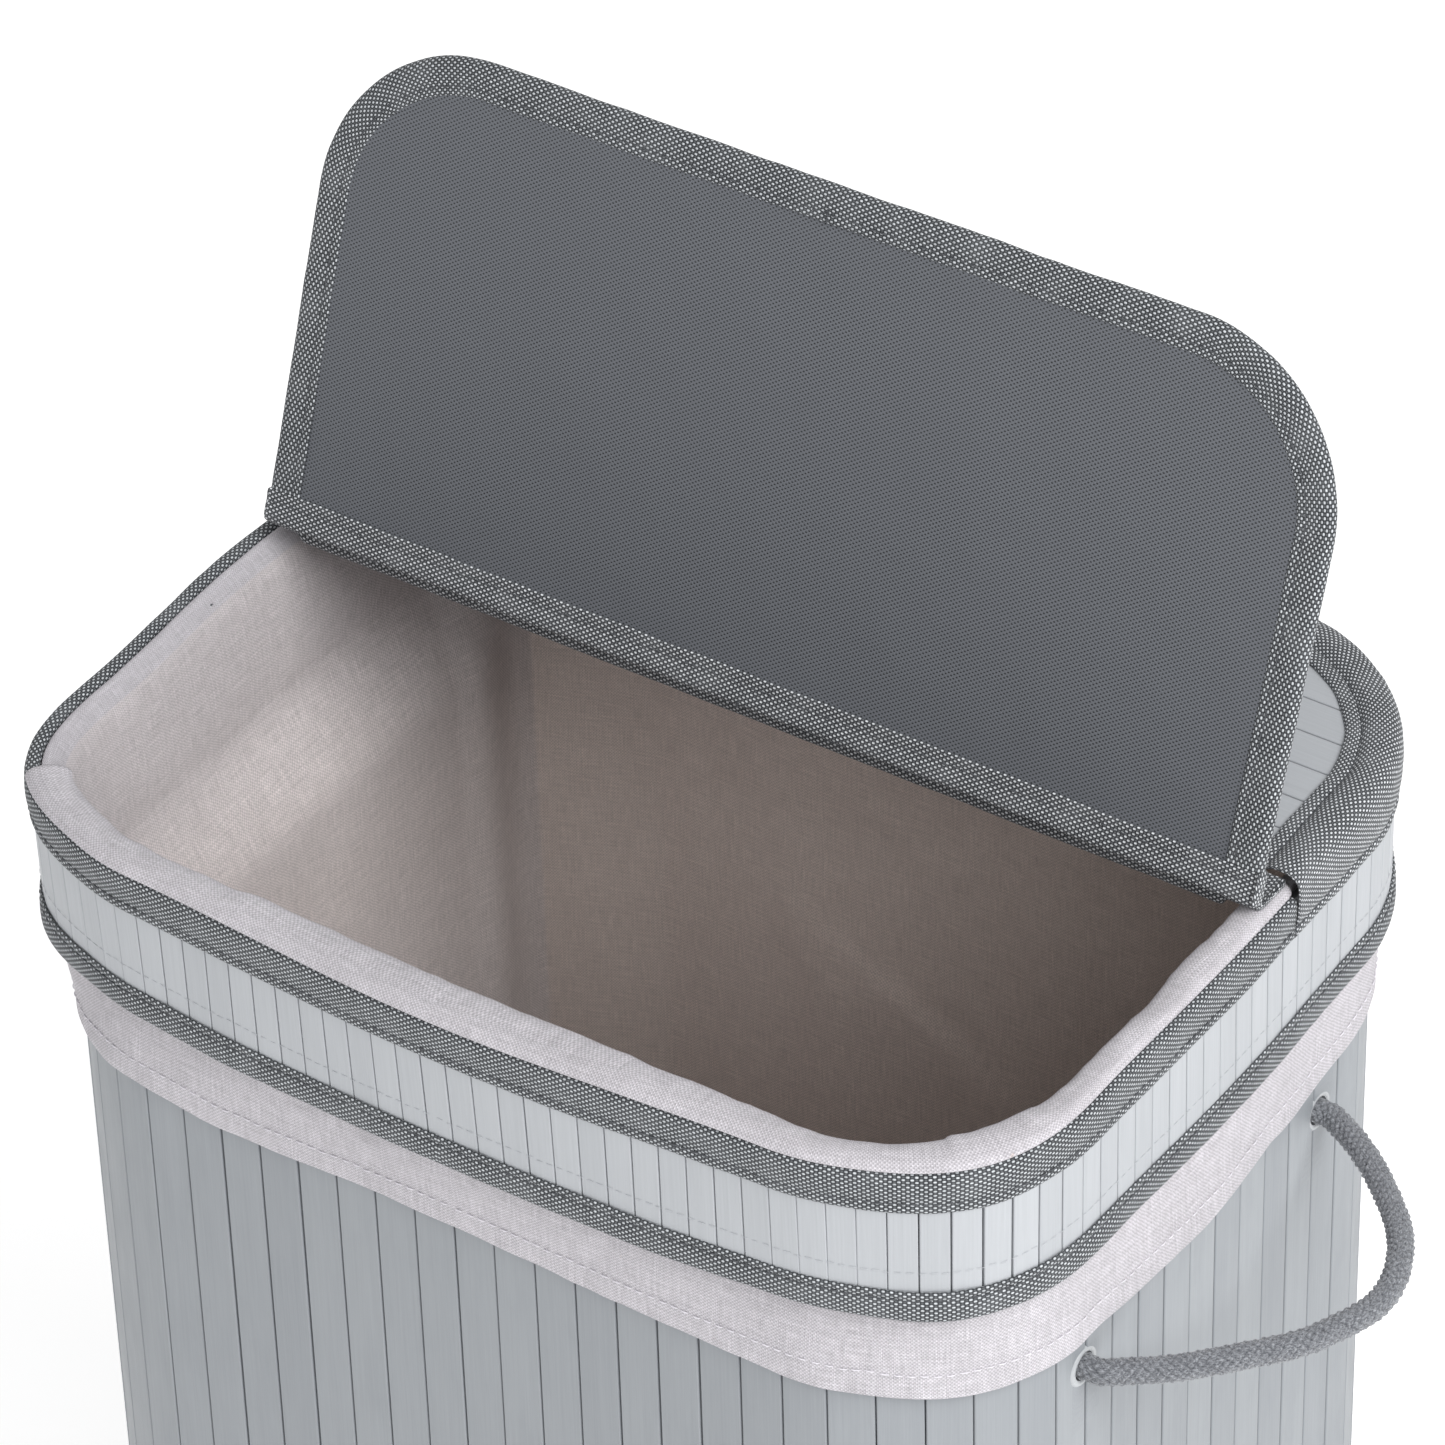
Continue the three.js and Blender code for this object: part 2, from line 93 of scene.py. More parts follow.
# ---- camera --------------------------------------------------------------------------------------------
AZIMUTH = math.radians(35.16)
ELEVATION = math.radians(37.82)
ROLL = math.radians(-1.80)
DISTANCE = 2.642
AIM_RIGHT, AIM_UP = 1.67 * MM, 8.46 * MM
back = Vector((
    math.sin(AZIMUTH) * math.cos(ELEVATION),
    -math.cos(AZIMUTH) * math.cos(ELEVATION),
    math.sin(ELEVATION),
))
level_right = Vector((math.cos(AZIMUTH), math.sin(AZIMUTH), 0))
level_up = back.cross(level_right)
right = level_right * math.cos(ROLL) + level_up * math.sin(ROLL)
up = level_up * math.cos(ROLL) - level_right * math.sin(ROLL)
camera_data = bpy.data.cameras.new("camera")
camera = bpy.data.objects.new("camera", camera_data)
bpy.context.scene.collection.objects.link(camera)
camera_data.sensor_width = 36
camera_data.lens = 183.55
camera_data.clip_start, camera_data.clip_end = 0.05, 60
aim = Vector((0, 0, RIM)) + right * AIM_RIGHT + up * AIM_UP
turn = Matrix((right, up, back)).transposed().to_4x4()
camera.matrix_world = Matrix.Translation(aim + back * DISTANCE) @ turn
bpy.context.scene.camera = camera
bpy.context.scene.view_settings.view_transform = "Standard"


# ---- materials -----------------------------------------------------------------------------------------
def srgb(red, green, blue):
    """A colour given in 0 to 255 screen values, as linear RGBA."""
    def linear(value):
        value /= 255
        return value / 12.92 if value <= 0.04045 else ((value + 0.055) / 1.055) ** 2.4
    return (linear(red), linear(green), linear(blue), 1.0)


class Shader:
    """A material and short ways to add nodes to it."""

    def __init__(self, name):
        self.material = bpy.data.materials.new(name)
        self.material.use_nodes = True
        self.tree = self.material.node_tree
        self.tree.nodes.clear()
        uv_map = self.tree.nodes.new("ShaderNodeUVMap")
        uv_map.uv_map = "UVMap"
        self.uv = uv_map.outputs[0]

    def node(self, kind, inputs=None, **settings):
        made = self.tree.nodes.new(kind)
        for key, value in settings.items():
            setattr(made, key, value)
        for key, value in (inputs or {}).items():
            if isinstance(value, bpy.types.NodeSocket):
                self.tree.links.new(value, made.inputs[key])
            else:
                made.inputs[key].default_value = value
        return made

    def math(self, operation, *values):
        return self.node("ShaderNodeMath", dict(enumerate(values)), operation=operation).outputs[0]

    def scaled(self, vector, *by):
        return self.node("ShaderNodeVectorMath", {0: vector, 1: by}, operation="MULTIPLY").outputs[0]

    def moved(self, vector, by):
        return self.node("ShaderNodeVectorMath", {0: vector, 1: by}, operation="ADD").outputs[0]

    def noise(self, vector, scale, detail=2.0, roughness=0.5):
        inputs = {"Vector": vector, "Scale": scale, "Detail": detail, "Roughness": roughness}
        return self.node("ShaderNodeTexNoise", inputs).outputs[0]

    def range(self, value, from_low, from_high, to_low, to_high):
        inputs = {0: value, 1: from_low, 2: from_high, 3: to_low, 4: to_high}
        return self.node("ShaderNodeMapRange", inputs).outputs[0]

    def mix(self, factor, first, second, blend="MIX"):
        inputs = {0: factor, 6: first, 7: second}
        return self.node("ShaderNodeMix", inputs, data_type="RGBA", blend_type=blend).outputs[2]

    def bump(self, height, distance, strength=1.0, normal=None):
        inputs = {"Height": height, "Distance": distance, "Strength": strength}
        if normal is not None:
            inputs["Normal"] = normal
        return self.node("ShaderNodeBump", inputs).outputs[0]

    def attribute(self, name):
        return self.node("ShaderNodeAttribute", attribute_name=name).outputs["Fac"]

    def split(self, vector):
        return self.node("ShaderNodeSeparateXYZ", {0: vector}).outputs

    def finish(self, color, roughness, normal=None, sheen=0.0, **others):
        inputs = {"Base Color": color, "Roughness": roughness, "Sheen Weight": sheen}
        inputs.update(others)
        if normal is not None:
            inputs["Normal"] = normal
        surface = self.node("ShaderNodeBsdfPrincipled", inputs)
        output = self.tree.nodes.new("ShaderNodeOutputMaterial")
        self.tree.links.new(surface.outputs[0], output.inputs[0])
        return self.material


def weave(shader, pitch_u, pitch_v, wander=0.12):
    """Over and under of a plain weave, -1 to 1, on threads that wander a little."""
    noise = shader.noise(shader.scaled(shader.uv, 1 / pitch_u, 1 / pitch_v, 1), 0.21, 2.0)
    drift = shader.math("MULTIPLY", shader.math("SUBTRACT", noise, 0.5), wander * 8)
    across = shader.split(shader.uv)
    along_u = shader.math("MULTIPLY_ADD", across[0], math.pi / pitch_u, drift)
    along_v = shader.math("MULTIPLY_ADD", across[1], math.pi / pitch_v, drift)
    return shader.math("MULTIPLY", shader.math("SINE", along_u), shader.math("SINE", along_v))


def paint_on_bamboo(name, light, dark, blotch):
    """Thin grey paint over bamboo: fine fibres along each slat, cloudy stains and a tone of its own."""
    shader = Shader(name)
    tone = shader.attribute("tone")
    own = shader.node("ShaderNodeCombineXYZ", {2: shader.math("MULTIPLY", tone, 37.0)}).outputs[0]
    fibre_place = shader.moved(shader.scaled(shader.uv, 1500, 22, 1), own)
    fibre = shader.noise(fibre_place, 1.0, 4.0, 0.6)
    streak = shader.noise(shader.moved(shader.scaled(shader.uv, 260, 7, 1), own), 1.0, 3.0, 0.55)
    cloud = shader.noise(shader.moved(shader.scaled(shader.uv, 75, 22, 1), own), 1.0, 4.0, 0.65)
    worn = shader.range(cloud, 0.5, 0.78, 0.0, blotch)
    shade = shader.math("MULTIPLY_ADD", streak, 0.35, shader.math("MULTIPLY", tone, 0.65))
    color = shader.mix(shader.range(shade, 0.1, 0.95, 0, 1), dark, light)
    color = shader.mix(worn, color, shader.mix(0.6, color, dark))
    fine = shader.range(fibre, 0.3, 0.75, 0.93, 1.03)
    grey = shader.node("ShaderNodeCombineColor", {0: fine, 1: fine, 2: fine}).outputs[0]
    color = shader.mix(1.0, color, grey, "MULTIPLY")
    normal = shader.bump(shader.math("MULTIPLY_ADD", streak, 0.7, fibre), 0.12 * MM, 0.5)
    roughness = shader.range(cloud, 0.3, 0.8, 0.42, 0.58)
    return shader.finish(color, roughness, normal, **{"Specular IOR Level": 0.45})


def coarse_webbing(name, warp, weft, pitch=(1.45 * MM, 1.0 * MM)):
    """Binding tape: pale weft knots in staggered rows over dark warp."""
    shader = Shader(name)
    over = weave(shader, pitch[0], pitch[1], 0.04)
    lively = shader.noise(shader.scaled(shader.uv, 1 / pitch[0], 1 / pitch[1], 1), 0.5, 1.0)
    wear = shader.noise(shader.uv, 60.0, 3.0, 0.6)
    knots = shader.range(over, 0.12, 0.62, 0.0, 1.0)
    knots = shader.math("MULTIPLY", knots, shader.range(lively, 0.3, 0.65, 0.6, 1.0))
    under = shader.range(over, -0.9, -0.2, 1.0, 0.0)
    color = shader.mix(knots, warp, weft)
    color = shader.mix(shader.math("MULTIPLY", under, 0.12), color, weft)
    color = shader.mix(shader.range(wear, 0.45, 0.75, 0.0, 0.07), color, weft)
    height = shader.math("ABSOLUTE", over)
    return shader.finish(color, 0.8, shader.bump(height, 0.2 * MM, 0.8), sheen=0.08)


def oxford_lining(name, ground, dot, pitch=(1.15 * MM, 0.8 * MM)):
    """Fine lining of the flap: small dark dots in staggered rows, slightly shiny."""
    shader = Shader(name)
    over = weave(shader, pitch[0], pitch[1], 0.03)
    soft = shader.noise(shader.uv, 34.0, 4.0, 0.6)
    color = shader.mix(shader.range(over, -0.75, -0.1, 0.0, 1.0), ground, dot)
    color = shader.mix(shader.range(soft, 0.35, 0.75, 0.0, 0.06), color, dot)
    height = shader.math("MULTIPLY_ADD", soft, 0.6, shader.math("ABSOLUTE", over))
    return shader.finish(color, 0.72, shader.bump(height, 0.1 * MM, 0.6), sheen=0.1)


def cotton_cloth(name, light, shade, warm, inner, painted_shade_brown):
    """Plain-woven cotton with slubs: thicker yarns of uneven length both ways. Where tone goes up to 1 the cloth
    turns towards a warm pale tint, painted bounce light inside the bag, and where it goes on to 2 towards brown,
    painted shade."""
    shader = Shader(name)
    over = weave(shader, 0.78 * MM, 0.72 * MM, 0.35)
    warp = shader.noise(shader.scaled(shader.uv, 1150, 75, 1), 1.0, 2.0, 0.7)
    weft = shader.noise(shader.scaled(shader.uv, 75, 1150, 1), 1.0, 2.0, 0.7)
    yarns = shader.math("SUBTRACT", shader.math("ADD", warp, weft), 1.0)
    slubs = shader.math("MAXIMUM", warp, weft)
    cloud = shader.noise(shader.uv, 26.0, 4.0, 0.6)
    speck = shader.noise(shader.uv, 230.0, 1.0)
    tone = shader.attribute("tone")
    color = shader.mix(shader.range(cloud, 0.35, 0.75, 0.0, 0.4), light, shade)
    # Painted light: as tone goes to 1 the cloth turns towards a warm pale tint, painted bounce light inside the bag;
    # from 1 to 2 it turns towards brown, painted shade.
    color = shader.mix(shader.range(tone, 0.0, 1.0, 0.0, 0.85), color, inner)
    color = shader.mix(shader.range(tone, 1.0, 2.0, 0.0, 1.0), color, painted_shade_brown)
    color = shader.mix(shader.range(speck, 0.79, 0.84, 0.0, 0.5), color, warm)
    # Painted shade in the weave's fine relief: the colour is multiplied down where threads dip under and where yarns
    # run thin, slubs come out a little lighter, and inside the bag this is weaker.
    painted_weave_shade = shader.math("MULTIPLY", shader.range(over, -0.6, 0.6, 0.66, 1.0),
                         shader.range(yarns, -0.3, 0.22, 0.72, 1.02))
    painted_weave_shade = shader.math("MULTIPLY", painted_weave_shade, shader.range(slubs, 0.62, 0.78, 1.0, 1.12))
    grey = shader.node("ShaderNodeCombineColor", {0: painted_weave_shade, 1: painted_weave_shade, 2: painted_weave_shade}).outputs[0]
    color = shader.mix(shader.range(tone, 0.0, 1.0, 1.0, 0.8), color, grey, "MULTIPLY")
    height = shader.math("MULTIPLY_ADD", slubs, 2.2, shader.math("ABSOLUTE", over))
    normal = shader.bump(height, 0.22 * MM, 0.8)
    return shader.finish(color, 0.92, normal, sheen=0.1)


def yarn_rope(name, light, dark):
    """Heather-grey cotton yarn with pale and dark fibres and a slight fuzz."""
    shader = Shader(name)
    heather = shader.noise(shader.scaled(shader.uv, 1100, 1700, 1), 1.0, 3.0, 0.75)
    cloud = shader.noise(shader.uv, 240.0, 2.0)
    color = shader.mix(shader.range(heather, 0.35, 0.68, 0.0, 1.0), dark, light)
    # Painted shade: tone holds the braid's height, and the yarn is darkened where it sinks between the strands.
    deep = shader.attribute("tone")
    color = shader.mix(shader.range(deep, 0.0, 0.7, 0.7, 0.0), color, dark)
    color = shader.mix(shader.range(cloud, 0.4, 0.7, 0.0, 0.25), color, dark)
    return shader.finish(color, 0.95, shader.bump(heather, 0.25 * MM, 0.8), sheen=0.4)


def plain_thread(name, color):
    shader = Shader(name)
    twist = shader.noise(shader.scaled(shader.uv, 3000, 900, 1), 1.0, 2.0)
    tint = shader.mix(shader.range(twist, 0.3, 0.7, 0.0, 0.12), color, srgb(200, 202, 206))
    return shader.finish(tint, 0.7, shader.bump(twist, 0.05 * MM, 0.6))


def moulded_plastic(name, color):
    shader = Shader(name)
    fine = shader.noise(shader.uv, 900.0, 3.0)
    scuff = shader.range(shader.noise(shader.uv, 200.0, 3.0), 0.45, 0.8, 0.25, 0.5)
    return shader.finish(color, scuff, shader.bump(fine, 0.03 * MM, 0.4))


def pressed_fibre(name, light, dark):
    shader = Shader(name)
    fibre = shader.noise(shader.scaled(shader.uv, 900, 500, 1), 1.0, 4.0, 0.7)
    return shader.finish(shader.mix(fibre, dark, light), 0.85, shader.bump(fibre, 0.1 * MM, 0.5))


def brushed_steel(name):
    shader = Shader(name)
    lines = shader.noise(shader.scaled(shader.uv, 40, 4000, 1), 1.0, 3.0)
    color = shader.mix(lines, srgb(150, 151, 153), srgb(190, 191, 193))
    return shader.finish(color, 0.38, shader.bump(lines, 0.03 * MM, 0.5), Metallic=1.0)


def generated_finish(name, light, dark, scale, metallic, roughness):
    """For CAD nodes that stay: they carry no UVs, so the pattern lies in the object's own box."""
    shader = Shader(name)
    place = shader.node("ShaderNodeTexCoord").outputs["Object"]
    fibre = shader.noise(place, scale, 5.0, 0.65)
    color = shader.mix(shader.range(fibre, 0.35, 0.7, 0.0, 1.0), dark, light)
    normal = shader.bump(fibre, 0.2 * MM, 0.5)
    return shader.finish(color, roughness, normal, Metallic=metallic)


LOOK = {
    "wall_slats": paint_on_bamboo("wall_slat_paint", srgb(152, 156, 160), srgb(139, 143, 148), 0.7),
    "lid_slats": paint_on_bamboo("lid_slat_paint", srgb(181, 184, 188), srgb(171, 174, 178), 0.3),
    "tape": coarse_webbing("binding_webbing", srgb(34, 38, 43), srgb(224, 227, 231)),
    # A darker copy of the same binding webbing, for the collar's bindings and the flap's edge: painted shade on these
    # tapes.
    "shaded_tape": coarse_webbing("shaded_webbing", srgb(29, 33, 38), srgb(206, 210, 214)),
    "lining": oxford_lining("oxford_lining", srgb(20, 23, 27), srgb(98, 101, 107)),
    # The cotton's last two colours are painted light inside the bag: a warm pale tint for bounce light and a brown for
    # shade.
    "cotton": cotton_cloth("slub_cotton", srgb(223, 219, 225), srgb(203, 199, 204), srgb(204, 184, 174),
                           srgb(255, 239, 229), srgb(204, 190, 182)),
    "rope": yarn_rope("heather_yarn", srgb(166, 169, 174), srgb(70, 72, 78)),
    "backing": cotton_cloth("backing_cloth", srgb(150, 152, 156), srgb(124, 126, 130), srgb(120, 118, 116),
                            srgb(150, 152, 156), srgb(120, 122, 126)),
    "thread": plain_thread("dark_thread", srgb(52, 55, 60)),
    "faint_thread": plain_thread("faint_thread", srgb(178, 181, 185)),
    "pale_thread": plain_thread("pale_thread", srgb(222, 219, 225)),
    "eyelet": moulded_plastic("clear_plastic", srgb(172, 175, 178)),
    "steel": brushed_steel("strip_steel"),
    "fibre": pressed_fibre("board_fibre", srgb(190, 158, 118), srgb(150, 118, 82)),
    "board": generated_finish("fibre_board", srgb(190, 158, 118), srgb(150, 118, 82), 260.0, 0.0, 0.8),
}


# ---- meshes --------------------------------------------------------------------------------------------
def faces_in(mesh):
    """Whether the mesh's faces look inwards, by the sign of its volume."""
    mesh.calc_loop_triangles()
    corners = np.zeros(len(mesh.loop_triangles) * 3, int)
    mesh.loop_triangles.foreach_get("vertices", corners)
    places = np.zeros(len(mesh.vertices) * 3)
    mesh.vertices.foreach_get("co", places)
    places = places.reshape(-1, 3)
    triangles = (places - places.mean(0))[corners.reshape(-1, 3)]
    return (triangles[:, 0] * np.cross(triangles[:, 1], triangles[:, 2])).sum() < 0


def make_object(name, points, faces, uvs, look, smooth=True, tone=None, turn_out=True):
    """A mesh object. uvs holds one pair per face corner, in metres; tone one value per point."""
    mesh = bpy.data.meshes.new(name)
    mesh.from_pydata([tuple(p) for p in points], [], [tuple(f) for f in faces])
    layer = mesh.uv_layers.new(name="UVMap")
    layer.data.foreach_set("uv", np.asarray(uvs, np.float32).ravel())
    if tone is not None:
        attribute = mesh.attributes.new("tone", "FLOAT", "POINT")
        attribute.data.foreach_set("value", np.asarray(tone, np.float32))
    mesh.polygons.foreach_set("use_smooth", [smooth] * len(mesh.polygons))
    mesh.materials.append(LOOK[look])
    if turn_out and faces_in(mesh):
        mesh.flip_normals()
    mesh.update()
    made = bpy.data.objects.new(name, mesh)
    bpy.context.scene.collection.objects.link(made)
    return made


def grid(points, uv, wrap_rows=False, wrap_columns=False, flip=False):
    """Points, quads and corner UVs of a rows x columns sheet; uv has one more row or column where it wraps."""
    rows, columns = points.shape[:2]
    row = np.arange(rows if wrap_rows else rows - 1)
    column = np.arange(columns if wrap_columns else columns - 1)
    r, c = np.meshgrid(row, column, indexing="ij")
    r, c = r.ravel(), c.ravel()
    corners = [(r, c), (r + 1, c), (r + 1, c + 1), (r, c + 1)]
    if flip:
        corners.reverse()
    faces = np.stack([(a % rows) * columns + b % columns for a, b in corners], axis=1)
    uvs = np.stack([uv[a, b] for a, b in corners], axis=1)
    return points.reshape(-1, 3), faces, uvs.reshape(-1, 2)


class Parts:
    """Several small meshes gathered into one object."""

    def __init__(self):
        self.points, self.faces, self.uvs, self.tones, self.count = [], [], [], [], 0

    def add(self, points, faces, uvs, tone=0.5):
        self.points.append(points)
        self.faces.extend((np.asarray(faces) + self.count).tolist() if not isinstance(faces, list)
                          else [[i + self.count for i in face] for face in faces])
        self.uvs.append(uvs)
        self.tones.append(np.broadcast_to(tone, len(points)))
        self.count += len(points)

    def build(self, name, look, smooth=True):
        points = np.concatenate(self.points)
        return make_object(name, points, self.faces, np.concatenate(self.uvs), look, smooth,
                           np.concatenate(self.tones))


def value_noise(points, seed):
    """Smooth noise from -1 to 1 at points given in lattice units."""
    table = np.random.default_rng(seed).permutation(256)
    values = np.random.default_rng(seed + 1).uniform(-1, 1, 256)
    cell = np.floor(points).astype(int)
    part = points - cell
    part = part * part * (3 - 2 * part)
    total = np.zeros(points.shape[:-1])
    for dx in (0, 1):
        for dy in (0, 1):
            for dz in (0, 1):
                index = table[(cell[..., 0] + dx) & 255]
                index = table[(index + cell[..., 1] + dy) & 255]
                index = table[(index + cell[..., 2] + dz) & 255]
                weight = np.abs(1 - dx - part[..., 0]) * np.abs(1 - dy - part[..., 1])
                total += values[index] * weight * np.abs(1 - dz - part[..., 2])
    return total


def smooth(value, low, high):
    t = np.clip((value - low) / (high - low), 0, 1)
    return t * t * (3 - 2 * t)


def around(s):
    """The collar's outline at distances s along it, counter-clockwise from the front's middle: points and normals."""
    s = np.mod(np.asarray(s, float), PERIMETER)
    runs = [FLAT_X, ARC, 2 * FLAT_Y, ARC, 2 * FLAT_X, ARC, 2 * FLAT_Y, ARC, FLAT_X]
    starts = np.concatenate([[0], np.cumsum(runs)])
    which = np.clip(np.searchsorted(starts, s, side="right") - 1, 0, 8)
    along = s - starts[which]
    turn = along / CORNER
    x, y, nx, ny = (np.zeros_like(s) for _ in range(4))
    flats = {
        0: (lambda a: a, lambda a: -HALF_Y, 0, -1),
        2: (lambda a: HALF_X, lambda a: a - FLAT_Y, 1, 0),
        4: (lambda a: FLAT_X - a, lambda a: HALF_Y, 0, 1),
        6: (lambda a: -HALF_X, lambda a: FLAT_Y - a, -1, 0),
        8: (lambda a: a - FLAT_X, lambda a: -HALF_Y, 0, -1),
    }
    for index, (fx, fy, ox, oy) in flats.items():
        here = which == index
        x[here] = (fx(along) + 0 * along)[here]
        y[here] = (fy(along) + 0 * along)[here]
        nx[here], ny[here] = ox, oy
    corners = {1: (1, -1, -90), 3: (1, 1, 0), 5: (-1, 1, 90), 7: (-1, -1, 180)}
    for index, (sx, sy, first) in corners.items():
        here = which == index
        angle = math.radians(first) + turn[here]
        nx[here], ny[here] = np.cos(angle), np.sin(angle)
        x[here] = sx * FLAT_X + CORNER * nx[here]
        y[here] = sy * FLAT_Y + CORNER * ny[here]
    bow = BOW_Y * np.clip(1 - (x / HALF_X) ** 2, 0, 1) * ny ** 2
    bow += BOW_X * np.clip(1 - (y / HALF_Y) ** 2, 0, 1) * nx ** 2
    return np.stack([x + nx * bow, y + ny * bow], -1), np.stack([nx, ny], -1)


def out_of_true(s, z):
    """How far the wall stands out of its even outline at distances s along it and heights z."""
    s = np.mod(np.asarray(s, float) + PERIMETER / 2, PERIMETER) - PERIMETER / 2
    up = np.clip((z - COLLAR_FOOT) / (RIM - COLLAR_FOOT), 0, 1)
    fade = np.clip((z - STRAIGHT_BELOW) / (COLLAR_FOOT - STRAIGHT_BELOW), 0, 1)
    fade = fade * fade * (3 - 2 * fade)
    total = 0.0
    for centre, half, (at_rim, at_foot) in OUT_OF_TRUE:
        near = np.cos(np.clip(np.abs(s - centre) / half, 0, 1) * math.pi / 2) ** 2
        total = total + near * (at_foot + (at_rim - at_foot) * up) * MM
    return total * fade


def at_offset(s, offset, z):
    """Points at distances s along the outline, set out by offset, at height z; the three broadcast."""
    s, offset, z = np.broadcast_arrays(np.asarray(s, float), offset, z)
    places, normals = around(s)
    offset = offset + out_of_true(s, z)
    return np.concatenate([places + normals * offset[..., None], z[..., None]], -1)


def soften(profile, steps=3):
    """A smooth line through the profile's points (Catmull-Rom)."""
    profile = np.asarray(profile, float)
    padded = np.concatenate([2 * profile[:1] - profile[1:2], profile, 2 * profile[-1:] - profile[-2:-1]])
    line = []
    for i in range(len(profile) - 1):
        a, b, c, d = padded[i:i + 4]
        for t in np.arange(steps) / steps:
            line.append(0.5 * (2 * b + (c - a) * t + (2 * a - 5 * b + 4 * c - d) * t * t
                               + (3 * b - a - 3 * c + d) * t ** 3))
    line.append(profile[-1])
    return np.array(line)


def lengths(line):
    """Distance along a line of points."""
    return np.concatenate([[0], np.cumsum(np.linalg.norm(np.diff(line, axis=0), axis=1))])


def ring_band(name, profile, look, wobble, seed, span=(0.0, PERIMETER), step=2.5 * MM, steps=3):
    """A soft band all the way round, or along a span of it, from a profile of (offset, height) points."""
    profile = soften(profile, steps)
    closed = span[1] - span[0] >= PERIMETER - 1e-9
    count = int(round((span[1] - span[0]) / step))
    s = span[0] + (span[1] - span[0]) * np.arange(count + 1) / count
    v = lengths(profile)
    S, V = np.meshgrid(s, v, indexing="ij")
    base = at_offset(S, profile[:, 0][None], profile[:, 1][None])
    bump = value_noise(base / (16 * MM), seed) * wobble + value_noise(base / (5 * MM), seed + 5) * wobble * 0.35
    lift = value_noise(base / (22 * MM) + 40, seed + 9) * wobble * 0.6
    points = at_offset(S, profile[:, 0][None] + bump, profile[:, 1][None] + lift)
    uv = np.stack([S, V], -1)
    used = points[:-1] if closed else points
    return make_object(name, *grid(used, uv, wrap_rows=closed), look)


def capsule(start, end, normal, radius, sink=0.35):
    """A short stitch of thread lying on a surface, its ends dipping in."""
    start, end, normal = Vector(start), Vector(end), Vector(normal)
    along = (end - start).normalized()
    side = along.cross(normal).normalized()
    shape = [(0.0, -1.1, 0.35), (0.12, -0.2, 0.9), (0.35, sink, 1.0), (0.65, sink, 1.0), (0.88, -0.2, 0.9),
             (1.0, -1.1, 0.35)]
    points, uv = [], []
    for t, height, width in shape:
        centre = start.lerp(end, t) + normal * radius * height
        row = []
        for k in range(6):
            angle = k * math.pi / 3
            row.append(centre + (side * math.cos(angle) + normal * math.sin(angle)) * radius * width)
        points.append(row)
        uv.append([(t * (end - start).length, k * radius) for k in range(7)])
    points = np.array([[tuple(p) for p in row] for row in points])
    return grid(points, np.array(uv), wrap_columns=True, flip=True)


def stitches(name, line, normals, look, length=2.9 * MM, gap=1.1 * MM, radius=0.33 * MM, waver=0.18 * MM):
    """A row of stitches along a line of points that lie on a surface."""
    line, normals = np.asarray(line), np.asarray(normals)
    run = lengths(line)
    parts = Parts()
    at = 0.0
    while at + length < run[-1]:
        ends = [np.array([np.interp(d, run, line[:, k]) for k in range(3)]) for d in (at, at + length)]
        middle = at + length / 2
        normal = np.array([np.interp(middle, run, normals[:, k]) for k in range(3)])
        normal /= np.linalg.norm(normal)
        across = np.cross(normal, ends[1] - ends[0])
        across /= np.linalg.norm(across)
        shift = across * rng.normal(0, waver)
        parts.add(*capsule(ends[0] + shift, ends[1] + shift * 0.5, normal, radius))
        at += length + gap * rng.uniform(0.8, 1.3)
    return parts.build(name, look)


def ring_stitches(name, offset, z, look, span=(0.0, PERIMETER), **options):
    s = np.linspace(span[0], span[1], 700)
    line = at_offset(s, offset, z)
    normals = np.concatenate([around(s)[1], np.zeros((len(s), 1))], -1)
    return stitches(name, line, normals, look, **options)


def tube(path, radius, sides=8, closed=False):
    """A round tube along a path, with a frame carried along without twist."""
    path = np.asarray(path, float)
    ahead = np.roll(path, -1, 0) - np.roll(path, 1, 0) if closed else np.gradient(path, axis=0)
    ahead /= np.linalg.norm(ahead, axis=1)[:, None]
    normal = np.cross(ahead[0], [0, 0, 1.0])
    if np.linalg.norm(normal) < 1e-3:
        normal = np.cross(ahead[0], [1.0, 0, 0])
    frames = []
    for direction in ahead:
        normal = normal - direction * (normal @ direction)
        normal /= np.linalg.norm(normal)
        frames.append((normal, np.cross(direction, normal)))
    angle = np.arange(sides) * 2 * math.pi / sides
    radius = np.broadcast_to(radius, (len(path), sides)) if np.ndim(radius) else radius
    rings = np.array([p + (np.cos(angle)[:, None] * a + np.sin(angle)[:, None] * b)
                      * (radius[i][:, None] if np.ndim(radius) else radius)
                      for i, (p, (a, b)) in enumerate(zip(path, frames))])
    run = lengths(path)
    around_length = np.arange(sides + 1) * 2 * math.pi / sides * float(np.mean(radius))
    uv = np.stack(np.meshgrid(run, around_length, indexing="ij"), -1)
    return rings, uv


# ---- rope handles --------------------------------------------------------------------------------------
EYELET_REAR = (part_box("eyelet_right_rear")[0].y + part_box("eyelet_right_rear")[1].y) / 2
EYELET_FRONT = (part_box("eyelet_right_front")[0].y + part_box("eyelet_right_front")[1].y) / 2
EYELET_MIDDLE = (EYELET_REAR + EYELET_FRONT) / 2
EYELET_Y = (EYELET_REAR - EYELET_FRONT) / 2
EYELET_Z = (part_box("eyelet_right_rear")[0].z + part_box("eyelet_right_rear")[1].z) / 2
FLANGE_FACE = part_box("eyelet_right_rear")[1].x
WALL_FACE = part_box("wall_right_slats")[1].x
ROPE_R = 5.0 * MM
PIVOT_X = JOINTS["handle_right_swing"]["pos_m"][0]
LOOP_REACH = 88.5 * MM
LOOP_SHOULDER = 27.5 * MM
LOOP_TILT = math.radians(-5)
STRANDS = 8
BRAID_STEP = 3.4 * MM


